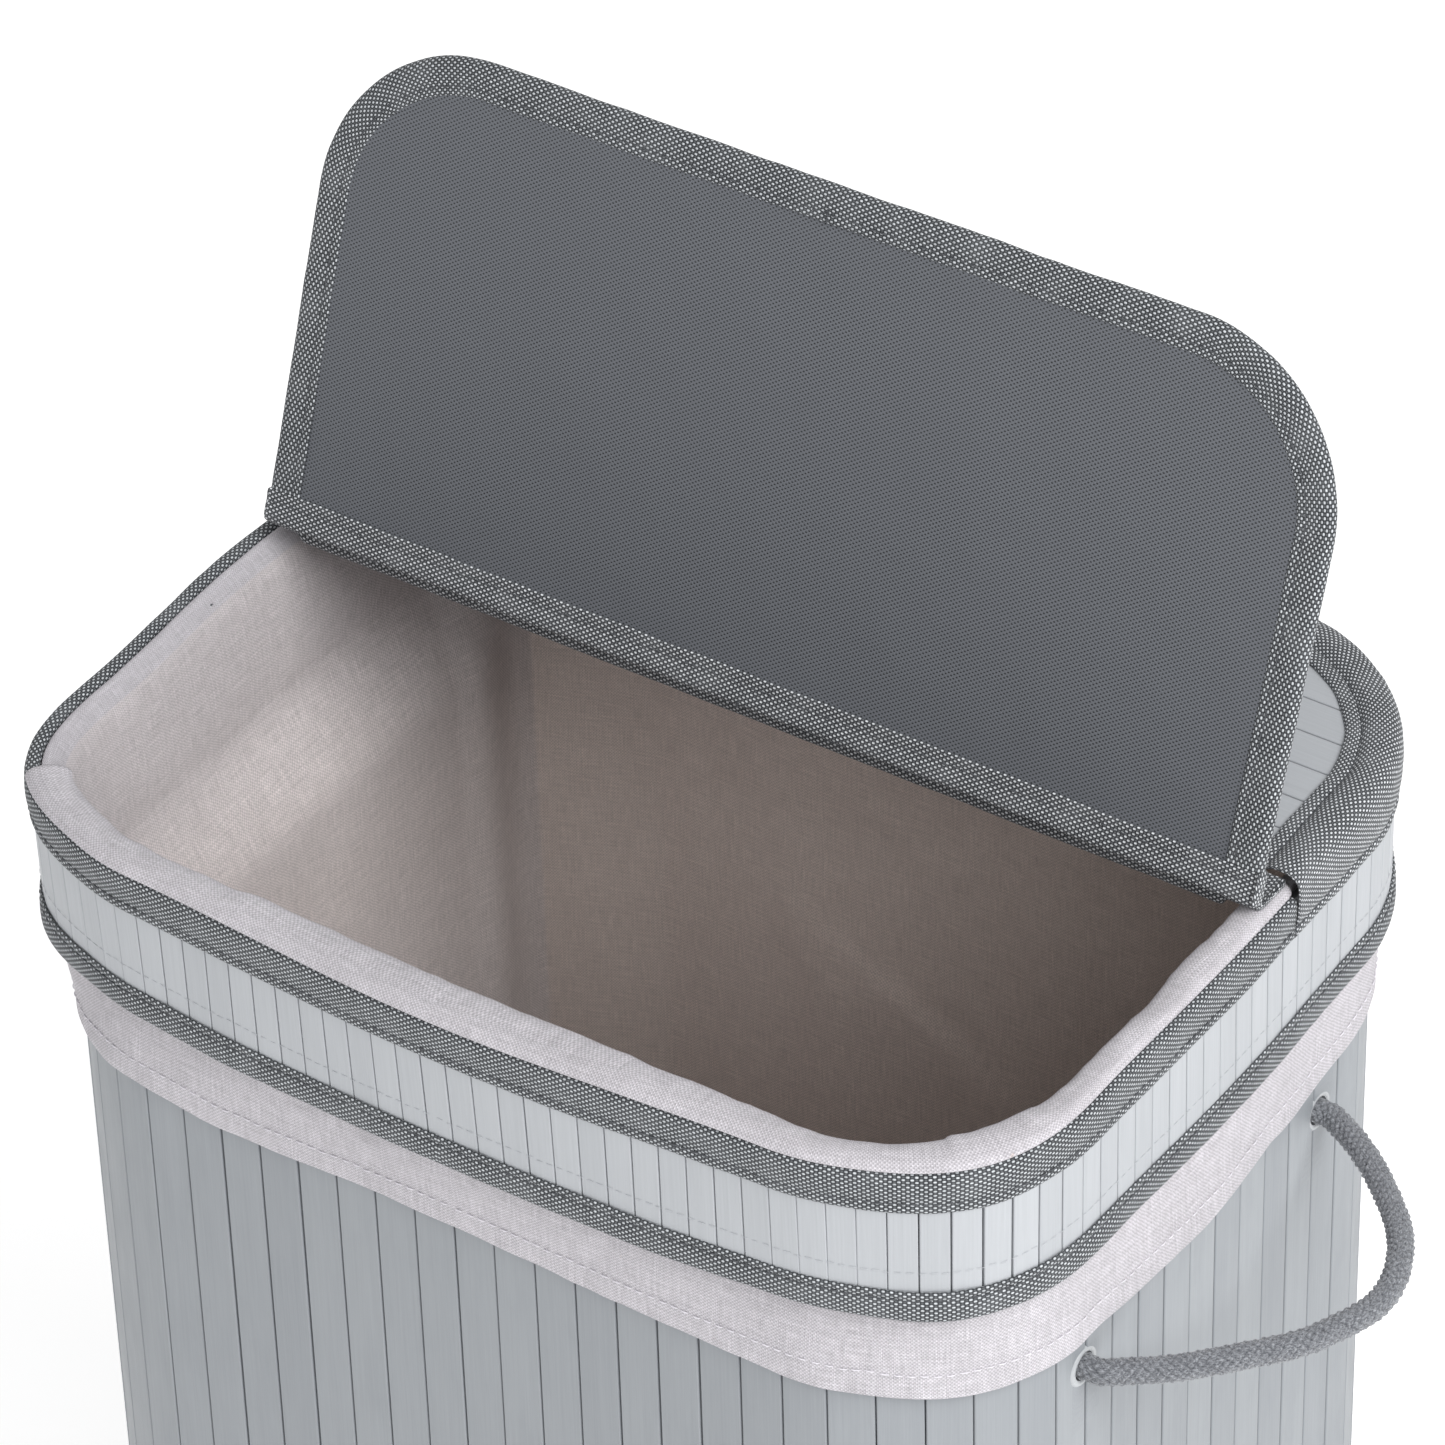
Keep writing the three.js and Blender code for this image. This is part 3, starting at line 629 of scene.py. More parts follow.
def loop_path(side):
    """The rope from inside the front eyelet, out round the loop and into the rear eyelet."""
    t = np.linspace(0, 1, 400)[:, None]
    ends = np.array([[0, -EYELET_Y, 0], [LOOP_REACH, -LOOP_SHOULDER, 0],
                     [LOOP_REACH, LOOP_SHOULDER, 0], [0, EYELET_Y, 0]])
    loop = ((1 - t) ** 3 * ends[0] + 3 * (1 - t) ** 2 * t * ends[1]
            + 3 * (1 - t) * t ** 2 * ends[2] + t ** 3 * ends[3])
    out = loop[:, 0].copy()
    loop[:, 0] = PIVOT_X + out * math.cos(LOOP_TILT)
    loop[:, 2] = EYELET_Z - out * math.sin(LOOP_TILT)
    lead = np.linspace(FLANGE_FACE - 5 * MM, PIVOT_X, 24)[:-1]
    first = np.stack([lead, np.full(23, -EYELET_Y), np.full(23, EYELET_Z)], -1)
    last = first[::-1] * [1, -1, 1]
    line = np.concatenate([first, loop, last])
    run = lengths(line)
    even = np.linspace(0, run[-1], int(run[-1] / (0.55 * MM)))
    line = np.stack([np.interp(even, run, line[:, k]) for k in range(3)], -1)
    kernel = np.hanning(17)
    kernel /= kernel.sum()
    extended = np.concatenate([2 * line[:1] - line[8:0:-1], line, 2 * line[-1:] - line[-2:-10:-1]])
    line = np.stack([np.convolve(extended[:, k], kernel, "valid") for k in range(3)], -1)
    inside = np.clip((line[:, 0] - FLANGE_FACE) / (20 * MM), 0, 1)[:, None]
    sway = np.stack([value_noise(line / (26 * MM) + 7 * k + 3 * side, 31 + k) for k in range(3)], -1)
    line = line + sway * inside * 0.7 * MM
    return line * [side, 1, 1] + [0, EYELET_MIDDLE, 0]


def braid(path, radius, strands=STRANDS, step=BRAID_STEP, sides=60):
    """A braided rope: two families of strands that pass over and under each other."""
    run = lengths(path)
    angle = np.arange(sides) * 2 * math.pi / sides
    a, s = np.meshgrid(angle * strands / (2 * math.pi), run / step, indexing="xy")
    u, v = a + s, a - s
    odd = (np.floor(u / 1.0) + np.floor(v / 1.0)) % 2
    fu, fv = u % 1.0, v % 1.0
    over = np.where(odd == 0, np.sin(math.pi * fu), np.sin(math.pi * fv))
    ends = np.where(odd == 0, np.sin(math.pi * fv), np.sin(math.pi * fu))
    height = over ** 0.7 * (0.45 + 0.55 * ends ** 0.6)
    place = np.stack([a * 2.2, s * 1.4, 0 * a], -1)
    height = height + 0.18 * value_noise(place, 61)
    rings, uv = tube(path, radius * 0.9 + (height - 0.5) * radius * 0.24, sides)
    # The strands' height goes out as tone too, for the yarn's painted shade in the grooves.
    return rings, uv, np.clip(height, 0, 1)


handles = []
for side, label in ((1, "right"), (-1, "left")):
    path = loop_path(side)
    rings, uv, tone = braid(path, ROPE_R)
    handle = make_object(f"braided_handle_{label}", *grid(rings, uv, wrap_columns=True), "rope", tone=tone.ravel())
    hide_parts(f"rope_handle_{label}")
    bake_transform(handle)
    handles.append(handle)


def stopper_knot(name, y, side):
    """The knot behind the wall and the rope's neck through the eyelet."""
    t = np.linspace(0, 2 * math.pi, 220, endpoint=False)
    knot_length = FLANGE_FACE - (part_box("rope_knot_right_rear")[0].x)
    centre_x = FLANGE_FACE - knot_length + 9.5 * MM
    x = np.sin(3 * t) * 3.6 * MM + centre_x
    ly = (np.sin(t) + 2 * np.sin(2 * t)) * 1.95 * MM
    lz = (np.cos(t) - 2 * np.cos(2 * t)) * 1.95 * MM
    loop = np.stack([x, ly + y, lz + EYELET_Z], -1)
    parts = Parts()
    run = np.concatenate([lengths(loop), [0]])
    rings, uv = tube(loop, ROPE_R * 0.86, 24, closed=True)
    wave = 1 + 0.05 * np.sin(np.arange(len(t))[:, None] * 0.55 + np.arange(24)[None] * 2 * math.pi * 5 / 24)
    rings = loop[:, None] + (rings - loop[:, None]) * wave[..., None]
    wide = np.concatenate([uv, uv[-1:] + [2 * uv[1, 0, 0], 0]])
    parts.add(*grid(rings, wide, wrap_rows=True, wrap_columns=True), tone=0.6)
    neck = np.stack([np.linspace(centre_x, FLANGE_FACE - 4.2 * MM, 20), np.full(20, y), np.full(20, EYELET_Z)], -1)
    parts.add(*grid(*tube(neck, ROPE_R * 0.97, 24), wrap_columns=True), tone=0.6)
    turn = np.linspace(0, 1, 26)[:, None]
    start = np.array([centre_x, y, EYELET_Z - 5 * MM])
    bend = np.array([centre_x - 3 * MM, y + 4 * MM, EYELET_Z - 12 * MM])
    tip = np.array([centre_x - 2 * MM, y + 5 * MM, EYELET_Z - 21 * MM])
    tail = (1 - turn) ** 2 * start + 2 * turn * (1 - turn) * bend + turn ** 2 * tip
    radius = np.full(26, ROPE_R * 0.85)
    radius[-4:] *= [0.99, 0.93, 0.8, 0.3]
    parts.add(*grid(*tube(tail, np.tile(radius[:, None], 20), 20), wrap_columns=True), tone=0.6)
    parts.points = [p * [side, 1, 1] for p in parts.points]
    return parts.build(name, "rope")


def turned(profile, y, side, sides=48):
    """A part turned about a rope's axis at the wall, from (radius, x) points."""
    line = soften(profile, 4)
    angle = np.arange(sides) * 2 * math.pi / sides
    points = np.stack([
        np.broadcast_to(line[:, 1][:, None], (len(line), sides)),
        y + line[:, 0][:, None] * np.cos(angle),
        EYELET_Z + line[:, 0][:, None] * np.sin(angle),
    ], -1)
    points = points * [side, 1, 1]
    uv = np.stack(np.meshgrid(lengths(line), np.arange(sides + 1) * 0.8 * MM, indexing="ij"), -1)
    return grid(points, uv, wrap_columns=True, flip=side < 0)


BORE_R, BARREL_R, FLANGE_R = 5.7 * MM, 6.6 * MM, 8.3 * MM
barrel_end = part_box("eyelet_right_rear")[0].x
eyelet_profile = np.array([
    [BORE_R, barrel_end], [BARREL_R - 0.4 * MM, barrel_end], [BARREL_R, barrel_end + 0.8 * MM],
    [BARREL_R, WALL_FACE + 0.3 * MM], [BARREL_R + 0.3 * MM, WALL_FACE + 0.1 * MM],
    [FLANGE_R - 0.4 * MM, WALL_FACE + 0.1 * MM], [FLANGE_R, WALL_FACE + 0.5 * MM],
    [FLANGE_R - 0.4 * MM, FLANGE_FACE - 0.4 * MM], [FLANGE_R - 1.0 * MM, FLANGE_FACE],
    [BORE_R + 0.7 * MM, FLANGE_FACE], [BORE_R + 0.2 * MM, FLANGE_FACE - 0.3 * MM],
    [BORE_R, FLANGE_FACE - 1.0 * MM], [BORE_R, barrel_end + 1 * MM], [BORE_R, barrel_end],
])
for side, label in ((1, "right"), (-1, "left")):
    for end, word in ((-1, "front"), (1, "rear")):
        y = EYELET_MIDDLE + end * EYELET_Y
        eyelet = make_object(f"eyelet_ring_{label}_{word}", *turned(eyelet_profile, y, side), "eyelet")
        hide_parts(f"eyelet_{label}_{word}")
        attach(eyelet, "basket")
        knot = stopper_knot(f"knotted_rope_{label}_{word}", y, side)
        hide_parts(f"rope_knot_{label}_{word}")
        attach(knot, "basket")


# ---- slats ---------------------------------------------------------------------------------------------
def plank(start, end, outward, heights, layer, gap, edge, crown, lean=0.0, shift=0.0, ends_at=(0.0, 0.0)):
    """One slat with eased edges. start and end are plan points on the layer's reference line."""
    start, end = np.asarray(start), np.asarray(end)
    width = np.linalg.norm(end - start)
    across = (end - start) / width
    normal = np.asarray(outward, float)
    inner, outer = layer
    w = [gap, gap, gap + edge * 0.35, gap + edge, width / 2, width - gap - edge,
         width - gap - edge * 0.35, width - gap, width - gap]
    h = [inner, outer - edge, outer - edge * 0.35, outer, outer + crown, outer,
         outer - edge * 0.35, outer - edge, inner]
    h = np.array(h) + (np.array(w) / width - 0.5) * lean
    h[[0, -1]] = inner
    z = np.asarray(heights)
    rows = len(z)
    bend = shift * np.sin(np.linspace(0, math.pi, rows))
    from_start = np.array(w) / width
    out = out_of_true(ends_at[0], z)[:, None] * (1 - from_start) + out_of_true(ends_at[1], z)[:, None] * from_start
    plan = start + np.array(w)[:, None] * across
    points = np.zeros((rows, len(w), 3))
    points[..., :2] = plan[None] + (np.array(h)[None, :, None] + bend[:, None, None] + out[..., None]) * normal
    points[..., 2] = z[:, None]
    run = np.concatenate([lengths(np.stack([w, h], -1)), [0]])
    run[-1] = run[-2] + width
    uv = np.stack(np.meshgrid(run, z, indexing="xy"), -1)
    flat, faces, uvs = grid(points, uv, wrap_columns=True, flip=True)
    count = len(w)
    ends = [list(range(count)), [(rows - 1) * count + k for k in range(count)][::-1]]
    end_uv = np.concatenate([np.stack([w, h], -1), np.stack([w, h], -1)[::-1]])
    return flat, faces.tolist() + ends, np.concatenate([uvs, end_uv])


def joints_of(offset, total, first):
    """Where the joints between slats lie: total slats of even width all the way round at that offset."""
    fine = np.linspace(-PERIMETER / 2 - 0.1, PERIMETER + 0.1, 20001)
    run = lengths(at_offset(fine, offset, 0.0))
    run -= np.interp(0.0, fine, run)
    one_turn = np.interp(PERIMETER, fine, run)
    k = np.arange(-total, 2 * total)
    return np.interp(first + k * one_turn / total, run, fine, left=-9, right=9)


def slat_run(name, node, look, span, count, layer, gap, heights, edge, crown, lively):
    """The slats of one stretch of wall, each with its own tone, lean and slight bow."""
    parts = Parts()
    joints = [s for s in joints_of(layer[1], *count) if s > span[0] - 60 * MM and s < span[1] + 60 * MM]
    joints = np.array([a for a, b in zip(joints, joints[1:]) if span[0] <= (a + b) / 2 < span[1]]
                      + [b for a, b in zip(joints, joints[1:]) if span[0] <= (a + b) / 2 < span[1]][-1:])
    places, normals = around(joints)
    for k in range(len(joints) - 1):
        outward = normals[k] + normals[k + 1]
        outward /= np.linalg.norm(outward)
        start = places[k] + normals[k] * layer[1]
        end = places[k + 1] + normals[k + 1] * layer[1]
        depth = (layer[0] - layer[1], 0.0)
        tone = float(np.clip(rng.normal(0.5, 0.16), 0.02, 0.98))
        piece = plank(start, end, outward, heights, depth, gap * rng.uniform(0.8, 1.25), edge, crown,
                      lean=rng.normal(0, lively), shift=rng.normal(0, lively * 0.7),
                      ends_at=(joints[k], joints[k + 1]))
        parts.add(*piece, tone=tone)
    made = parts.build(name, look, smooth=False)
    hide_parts(node)
    return made


quarter = FLAT_X + ARC
spans = {
    "front_right": (FLAT_X, quarter),
    "right": (quarter, quarter + 2 * FLAT_Y),
    "rear_right": (quarter + 2 * FLAT_Y, quarter + 2 * FLAT_Y + ARC),
    "rear": (quarter + 2 * FLAT_Y + ARC, quarter + 2 * FLAT_Y + ARC + 2 * FLAT_X),
    "rear_left": (PERIMETER / 2 + FLAT_X, PERIMETER / 2 + FLAT_X + ARC),
    "left": (PERIMETER / 2 + FLAT_X + ARC, PERIMETER / 2 + FLAT_X + ARC + 2 * FLAT_Y),
    "front_left": (PERIMETER - FLAT_X - ARC, PERIMETER - FLAT_X),
    "front": (-FLAT_X, FLAT_X),
}
wall_low, wall_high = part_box("wall_front_slats")[0].z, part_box("wall_front_slats")[1].z
collar_low, collar_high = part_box("collar_front_slats")[0].z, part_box("collar_front_slats")[1].z
BASKET_SLAT = (WALL_FACE - HALF_X - 2.5 * MM, WALL_FACE - HALF_X)
COLLAR_SLAT = (-2.0 * MM, 0.0)


WALL_SLATS = (79, -3.6 * MM)  # how many all the way round, and where one joint lies
COLLAR_SLATS = (131, 6.0 * MM)


wall_heights = np.concatenate([np.linspace(wall_low, STRAIGHT_BELOW, 11)[:-1], np.linspace(STRAIGHT_BELOW, wall_high, 9)])
collar_heights = np.linspace(collar_low, collar_high, 5)

for place, span in spans.items():
    wall = slat_run(f"wall_{place}_bamboo", f"wall_{place}_slats", "wall_slats", span,
                    WALL_SLATS, BASKET_SLAT, 0.34 * MM, wall_heights, 0.5 * MM, 0.1 * MM, 0.14 * MM)
    if place in ("right", "left", "front_right", "front_left"):
        for end in (-1, 1):
            bpy.ops.mesh.primitive_cylinder_add(vertices=40, radius=BARREL_R + 0.2 * MM, depth=40 * MM,
                                                location=((1 if "right" in place else -1) * WALL_FACE,
                                                          EYELET_MIDDLE + end * EYELET_Y, EYELET_Z),
                                                rotation=(0, math.pi / 2, 0))
            drill = bpy.context.object
            hole = wall.modifiers.new("hole", "BOOLEAN")
            hole.object = drill
            hole.solver = "EXACT"
            bpy.context.view_layer.update()
            evaluated = wall.evaluated_get(bpy.context.evaluated_depsgraph_get())
            drilled = bpy.data.meshes.new_from_object(evaluated)
            wall.modifiers.clear()
            wall.data = drilled
            bpy.data.objects.remove(drill)
    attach(wall, "basket")
    collar = slat_run(f"collar_{place}_bamboo", f"collar_{place}_slats", "lid_slats", span,
                      COLLAR_SLATS, COLLAR_SLAT, 0.22 * MM, collar_heights, 0.4 * MM, 0.06 * MM, 0.07 * MM)
    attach(collar, "lid")


# ---- bindings ------------------------------------------------------------------------------------------
TAPE = 0.8 * MM


def thick(line, thickness):
    """A closed loop round a line of profile points, the second side set in to its left by thickness."""
    ahead = np.gradient(line, axis=0)
    ahead /= np.linalg.norm(ahead, axis=1)[:, None]
    inner = line + np.stack([-ahead[:, 1], ahead[:, 0]], -1) * thickness
    return np.concatenate([line, inner[::-1]])


def tucked_end(line, place, station, outward, flip):
    """The tape folded over the end of the channel it makes: a soft closed cap."""
    centre = line.mean(0)
    rings, uvs = [], []
    for push, scale in ((0, 1), (0.55, 0.985), (1.0, 0.93), (1.3, 0.8), (1.45, 0.5), (1.5, 0.15)):
        ring = centre + (line - centre) * scale
        at = np.full(len(ring), station + outward * push * MM)
        rings.append(place(at, ring[:, 0], ring[:, 1]))
        uvs.append(np.concatenate([ring, ring[:1]]) + push * MM)
    flat, faces, corner_uvs = grid(np.array(rings), np.array(uvs), wrap_columns=True, flip=flip)
    count = len(line)
    last = [(len(rings) - 1) * count + k for k in range(count)]
    last = last if flip else last[::-1]
    return flat, faces.tolist() + [last], np.concatenate([corner_uvs, np.tile(centre, (count, 1))])


def banded(name, profile, place, look, stations, closed, wobble, seed, thickness=TAPE, steps=3, flip=False,
           tucked=False):
    """A folded tape swept through place(station, a, b), where a, b are its profile's coordinates."""
    loop = thick(soften(np.asarray(profile), steps), thickness)
    v = np.append(lengths(loop), 0)
    v[-1] = v[-2] + thickness
    S, A = np.meshgrid(stations, loop[:, 0], indexing="ij")
    B = np.broadcast_to(loop[:, 1], S.shape)
    base = place(S, A, B)
    swell = value_noise(base / (17 * MM), seed) + 0.4 * value_noise(base / (6 * MM), seed + 3)
    lift = value_noise(base / (23 * MM) + 50, seed + 7)
    points = place(S, A + swell * wobble, B + lift * wobble * 0.7)
    used = points[:-1] if closed else points
    uv = np.stack(np.meshgrid(stations, v, indexing="ij"), -1)
    flat, faces, uvs = grid(used, uv, wrap_rows=closed, wrap_columns=True, flip=flip)
    faces = faces.tolist()
    if not closed:
        count = len(loop)
        half = count // 2
        for first in (0, (len(stations) - 1) * count):
            cap = [[first + k, first + k + 1, first + count - 2 - k, first + count - 1 - k] for k in range(half - 1)]
            cap = cap if first else [c[::-1] for c in cap]
            faces += cap
            uvs = np.concatenate([uvs, loop[np.array(cap).ravel() - first]])
    parts = Parts()
    parts.add(flat, faces, uvs)
    if tucked:
        line = soften(np.asarray(profile), steps)
        parts.add(*tucked_end(line, place, stations[0], -1, flip))
        parts.add(*tucked_end(line, place, stations[-1], 1, not flip))
    return parts.build(name, look)


def wall_place(S, A, B):
    return at_offset(S, A, B)


whole_way = np.linspace(0, PERIMETER, int(PERIMETER / (2.2 * MM)) + 1)
collar_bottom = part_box("collar_bottom_binding")[0].z
basket_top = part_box("basket_top_binding")[1].z
mm = lambda rows: np.array(rows, float) * MM


def raised(rows, z):
    """Profile rows in millimetres, (offset, height above z)."""
    return mm(rows) + [0, z]


cover_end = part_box("rear_cover_binding")[0].y
PANEL_CUT = 14.5 * MM
side_end = quarter + FLAT_Y + cover_end - 0.3 * MM  # along the right side, where the cover begins
left_end = PERIMETER / 2 + FLAT_X + ARC + FLAT_Y - cover_end + 0.3 * MM
front_way = np.linspace(left_end - PERIMETER, side_end, 420)
top_profile = raised([[0.35, -19], [0.9, -18.2], [1.25, -16.6], [1.0, -14.2], [1.35, -12], [1.75, -8.5], [1.8, -5],
                      [1.5, -2.5], [0.7, -1.15], [-0.8, -0.65], [-2.3, -0.65], [-3.4, -1.2], [-4.0, -2.5],
                      [-3.9, -6], [-3.9, -12], [-3.8, -17], [-3.3, -18.6]], RIM - 0.1 * MM)
top_binding = banded("top_binding", top_profile, wall_place, "shaded_tape", front_way, False, 0.35 * MM, 3, flip=True)
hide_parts("collar_top_binding")
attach(top_binding, "lid")

bottom_profile = raised([[-3.2, 14], [-3.85, 13.2], [-4.0, 10], [-3.95, 3.0], [-3.0, 0.6], [-1.4, 0.0], [0.2, 0.2],
                         [1.35, 1.4], [1.85, 3.6], [1.9, 6.2], [1.6, 8.6], [1.05, 10.4], [0.95, 10.8],
                         [1.35, 12.2], [1.0, 13.5], [0.35, 14]], collar_bottom + 0.1 * MM)
bottom_binding = banded("collar_lower_binding", bottom_profile, wall_place, "shaded_tape", whole_way, True, 0.3 * MM, 8,
                        flip=False)
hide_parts("collar_bottom_binding")
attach(bottom_binding, "lid")

basket_in, basket_out = -11.3, -5.6
basket_top_profile = raised([[-6.45, -22], [-5.9, -21.2], [-5.6, -19], [-5.8, -16.5], [-5.5, -13], [-5.4, -6],
                             [-5.6, -2.5], [-6.4, -0.6], [-7.8, 0.0], [-9.3, 0.0], [-10.6, -0.7], [-11.2, -2.6],
                             [-11.3, -8], [-11.2, -18], [-11.0, -21.2], [-10.6, -22]], basket_top)
basket_upper = banded("basket_upper_binding", basket_top_profile, wall_place, "tape", whole_way, True, 0.2 * MM,
                      12, flip=True)
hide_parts("basket_top_binding")
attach(basket_upper, "basket")
basket_low_profile = raised([[-10.6, 22], [-11.1, 21], [-11.3, 18], [-11.3, 8], [-11.2, 2.6], [-10.6, 0.7],
                             [-9.3, 0.0], [-7.8, 0.0], [-6.2, 0.5], [-5.3, 2.4], [-5.0, 6], [-5.1, 12],
                             [-5.5, 16.5], [-5.2, 19], [-5.6, 21.2], [-6.35, 22]], 0.1 * MM)
basket_lower = banded("basket_lower_binding", basket_low_profile, wall_place, "tape", whole_way, True, 0.25 * MM,
                      14, flip=False)
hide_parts("basket_bottom_binding")
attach(basket_lower, "basket")

cover_profile = raised([[0.5, -19], [1.3, -18.4], [1.75, -16.8], [1.6, -15.2], [1.05, -14.2], [1.05, -13.8],
                        [1.9, -12.4], [2.5, -8.5], [2.7, -4], [2.6, 1.0], [2.0, 4.4], [0.6, 6.9],
                        [-2.0, 8.4], [-5.5, 9.1], [-9.0, 8.9], [-11.4, 7.8], [-12.5, 6.85], [-13.0, 6.75],
                        [-14.2, 7.35], [-16.5, 7.3], [-18.2, 6.9], [-18.9, 5.9]], RIM)
rear_way = np.linspace(side_end + 0.3 * MM, left_end - 0.3 * MM, 420)
cover = banded("rear_cover", cover_profile, wall_place, "tape", rear_way, False, 0.5 * MM, 17,
               thickness=0.7 * MM, flip=True)
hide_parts("rear_cover_binding")
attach(cover, "lid")


def seam(name, offset, z, way, body, look="thread", **options):
    """Stitches along a binding on the wall at one offset and height."""
    line = at_offset(way, offset, z)
    normals = np.concatenate([around(way)[1], np.zeros((len(way), 1))], -1)
    made = stitches(name, line, normals, look, **options)
    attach(made, body)


seam("top_binding_stitches", 1.2 * MM, RIM - 14.3 * MM, front_way, "lid")
seam("collar_lower_stitches", 1.1 * MM, collar_bottom + 10.7 * MM, whole_way, "lid")
seam("collar_slat_stitches", 0.15 * MM, collar_bottom + 22.5 * MM, whole_way, "lid", look="faint_thread",
     radius=0.1 * MM)
seam("basket_upper_stitches", -5.7 * MM, basket_top - 16.5 * MM, whole_way, "basket")
seam("basket_lower_stitches", -5.35 * MM, 16.6 * MM, whole_way, "basket")
seam("cover_stitches", 1.1 * MM, RIM - 14 * MM, rear_way, "lid")
inner_way = rear_way
line = at_offset(inner_way, -12.75 * MM, RIM + 6.8 * MM)
cover_top = stitches("cover_top_stitches", line, np.tile([0, 0, 1.0], (len(line), 1)), "thread")
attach(cover_top, "lid")


# ---- thin sheets on the walls --------------------------------------------------------------------------
def lined(name, node, offset, low, high, body, look="backing"):
    """Cloth glued behind slats, faintly ridged by them."""
    s = np.linspace(0, PERIMETER, 421)
    z = np.concatenate([np.linspace(low, max(low, STRAIGHT_BELOW), 12), np.linspace(max(low, STRAIGHT_BELOW), high, 12)[1:]])
    S, Z = np.meshgrid(s, np.unique(z), indexing="ij")
    base = at_offset(S, offset, Z)
    ridge = 0.18 * MM * value_noise(base / (9 * MM), 21)
    points = at_offset(S, offset + ridge, Z)[:-1]
    made = make_object(name, *grid(points, np.stack([S, Z], -1), wrap_rows=True), look)
    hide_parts(node)
    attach(made, body)
    return made


def hoop(name, node, offsets, body):
    """A flat steel strip bent round the wall, with rounded edges."""
    low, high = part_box(node)[0].z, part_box(node)[1].z
    inner, outer = offsets
    ease = 0.25 * MM
    profile = np.array([[inner, low + ease], [inner + ease, low], [outer - ease, low], [outer, low + ease],
                        [outer, high - ease], [outer - ease, high], [inner + ease, high], [inner, high - ease]])
    s = np.linspace(0, PERIMETER, 401)
    S, A = np.meshgrid(s, profile[:, 0], indexing="ij")
    points = at_offset(S, A, np.broadcast_to(profile[:, 1], S.shape))[:-1]
    uv = np.stack(np.meshgrid(s, np.append(lengths(profile), 12 * MM), indexing="ij"), -1)
    made = make_object(name, *grid(points, uv, wrap_rows=True, wrap_columns=True), "steel")
    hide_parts(node)
    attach(made, body)


hoop("rim_hoop", "collar_hoop", (-2.4 * MM, -1.6 * MM), "lid")
hoop("basket_upper_hoop", "basket_top_hoop", (-9.3 * MM, -8.3 * MM), "basket")
hoop("basket_lower_hoop", "basket_bottom_hoop", (-9.3 * MM, -8.3 * MM), "basket")
lined("wall_backing", "wall_backing_cloth", -10.05 * MM, wall_low, wall_high, "basket")
lined("collar_backing", "collar_backing_cloth", -2.6 * MM, collar_low, collar_high, "lid")


def outline_half_width(y, inset):
    """Half the width of the wall's outline at depth y, set in by inset."""
    r = CORNER - inset
    beyond = np.clip(np.abs(y) - FLAT_Y, 0, r)
    return FLAT_X + np.sqrt(np.maximum(r * r - beyond ** 2, 0))


def panel_half_width(y, inset):
    """The rear panel's outline, its front corners cut back to leave the collar's edge free."""
    return outline_half_width(y, inset) - PANEL_CUT * (1 - smooth(y, cover_end + 15 * MM, cover_end + 21 * MM))


def disc(name, node, inset, z, look, body, wrinkle, seed, y_from=None, half_width=None, place=None, reach=None):
    """A flat cloth cut to an outline, with a slight unevenness."""
    half_width = half_width or outline_half_width
    low = -HALF_Y + inset if y_from is None else y_from
    high = (HALF_Y if reach is None else reach) - inset
    t = np.linspace(0, 1, 120)
    y = low + (high - low) * (np.sin((t - 0.5) * math.pi) / 2 + 0.5 if y_from is None else np.sin(t * math.pi / 2))
    X, Y = np.meshgrid(np.linspace(-1, 1, 140), y, indexing="ij")
    X = X * half_width(Y, inset)
    rough = value_noise(np.stack([X, Y, 0 * X], -1) / (34 * MM), seed)
    rough = rough + 0.4 * value_noise(np.stack([X, Y, 0 * X], -1) / (12 * MM), seed + 2)
    points = np.stack([X, Y, z + rough * wrinkle], -1)
    if place is not None:
        points = place(points)
    made = make_object(name, *grid(points, np.stack([X, Y], -1)), look)
    if node is not None:
        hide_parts(node)
    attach(made, body)
    return made


disc("basket_base_cloth", "base_cloth", 11.6 * MM, 2.2 * MM, "backing", "basket", 0.35 * MM, 71)
disc("rear_panel_under_lining", "rear_panel_lining", 1.0 * MM, RIM + 1.35 * MM, "lining", "lid", 0.12 * MM, 73,
     y_from=HINGE.y + 1.5 * MM, half_width=panel_half_width)


# ---- cross slats of the rear panel and the flap --------------------------------------------------------
PANEL_SLAT = 17.4 * MM


def cross_slats(name, node, look, body, joints, half_width, inset, low, high, place=None):
    """Slats that run from side to side, cut to an outline at their ends."""
    parts = Parts()
    edge, gap = 0.45 * MM, 0.32 * MM
    for first, last in zip(joints[:-1], joints[1:]):
        a, b = first + gap, last - gap
        lean = rng.normal(0, 0.06 * MM)
        w = np.array([a, a, a + edge * 0.35, a + edge, (a + b) / 2, b - edge, b - edge * 0.35, b, b])
        top = high
        h = np.array([low, top - edge, top - edge * 0.35, top, top + 0.08 * MM, top, top - edge * 0.35,
                      top - edge, low])
        h[1:-1] += (w[1:-1] - (a + b) / 2) / (b - a) * lean
        t = np.linspace(-1, 1, 17)
        X = t[:, None] * half_width(w, inset)[None]
        points = np.stack([X, np.broadcast_to(w, X.shape), np.broadcast_to(h, X.shape)], -1)
        run = np.append(lengths(np.stack([w, h], -1)), 0)
        run[-1] = run[-2] + (b - a)
        long = np.concatenate([X, X[:, :1]], 1)
        uv = np.stack([np.broadcast_to(run + first, long.shape), long], -1)
        flat, faces, uvs = grid(points, uv, wrap_columns=True)
        count = len(w)
        ends = [list(range(count)), [16 * count + k for k in range(count)][::-1]]
        end_uv = np.concatenate([np.stack([w, h], -1)] * 2)
        if place is not None:
            flat = place(flat)
        parts.add(flat, faces.tolist() + ends, np.concatenate([uvs, end_uv]),
                  tone=float(np.clip(rng.normal(0.5, 0.2), 0.05, 0.95)))
    made = parts.build(name, look, smooth=False)
    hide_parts(node)
    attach(made, body)
    return made


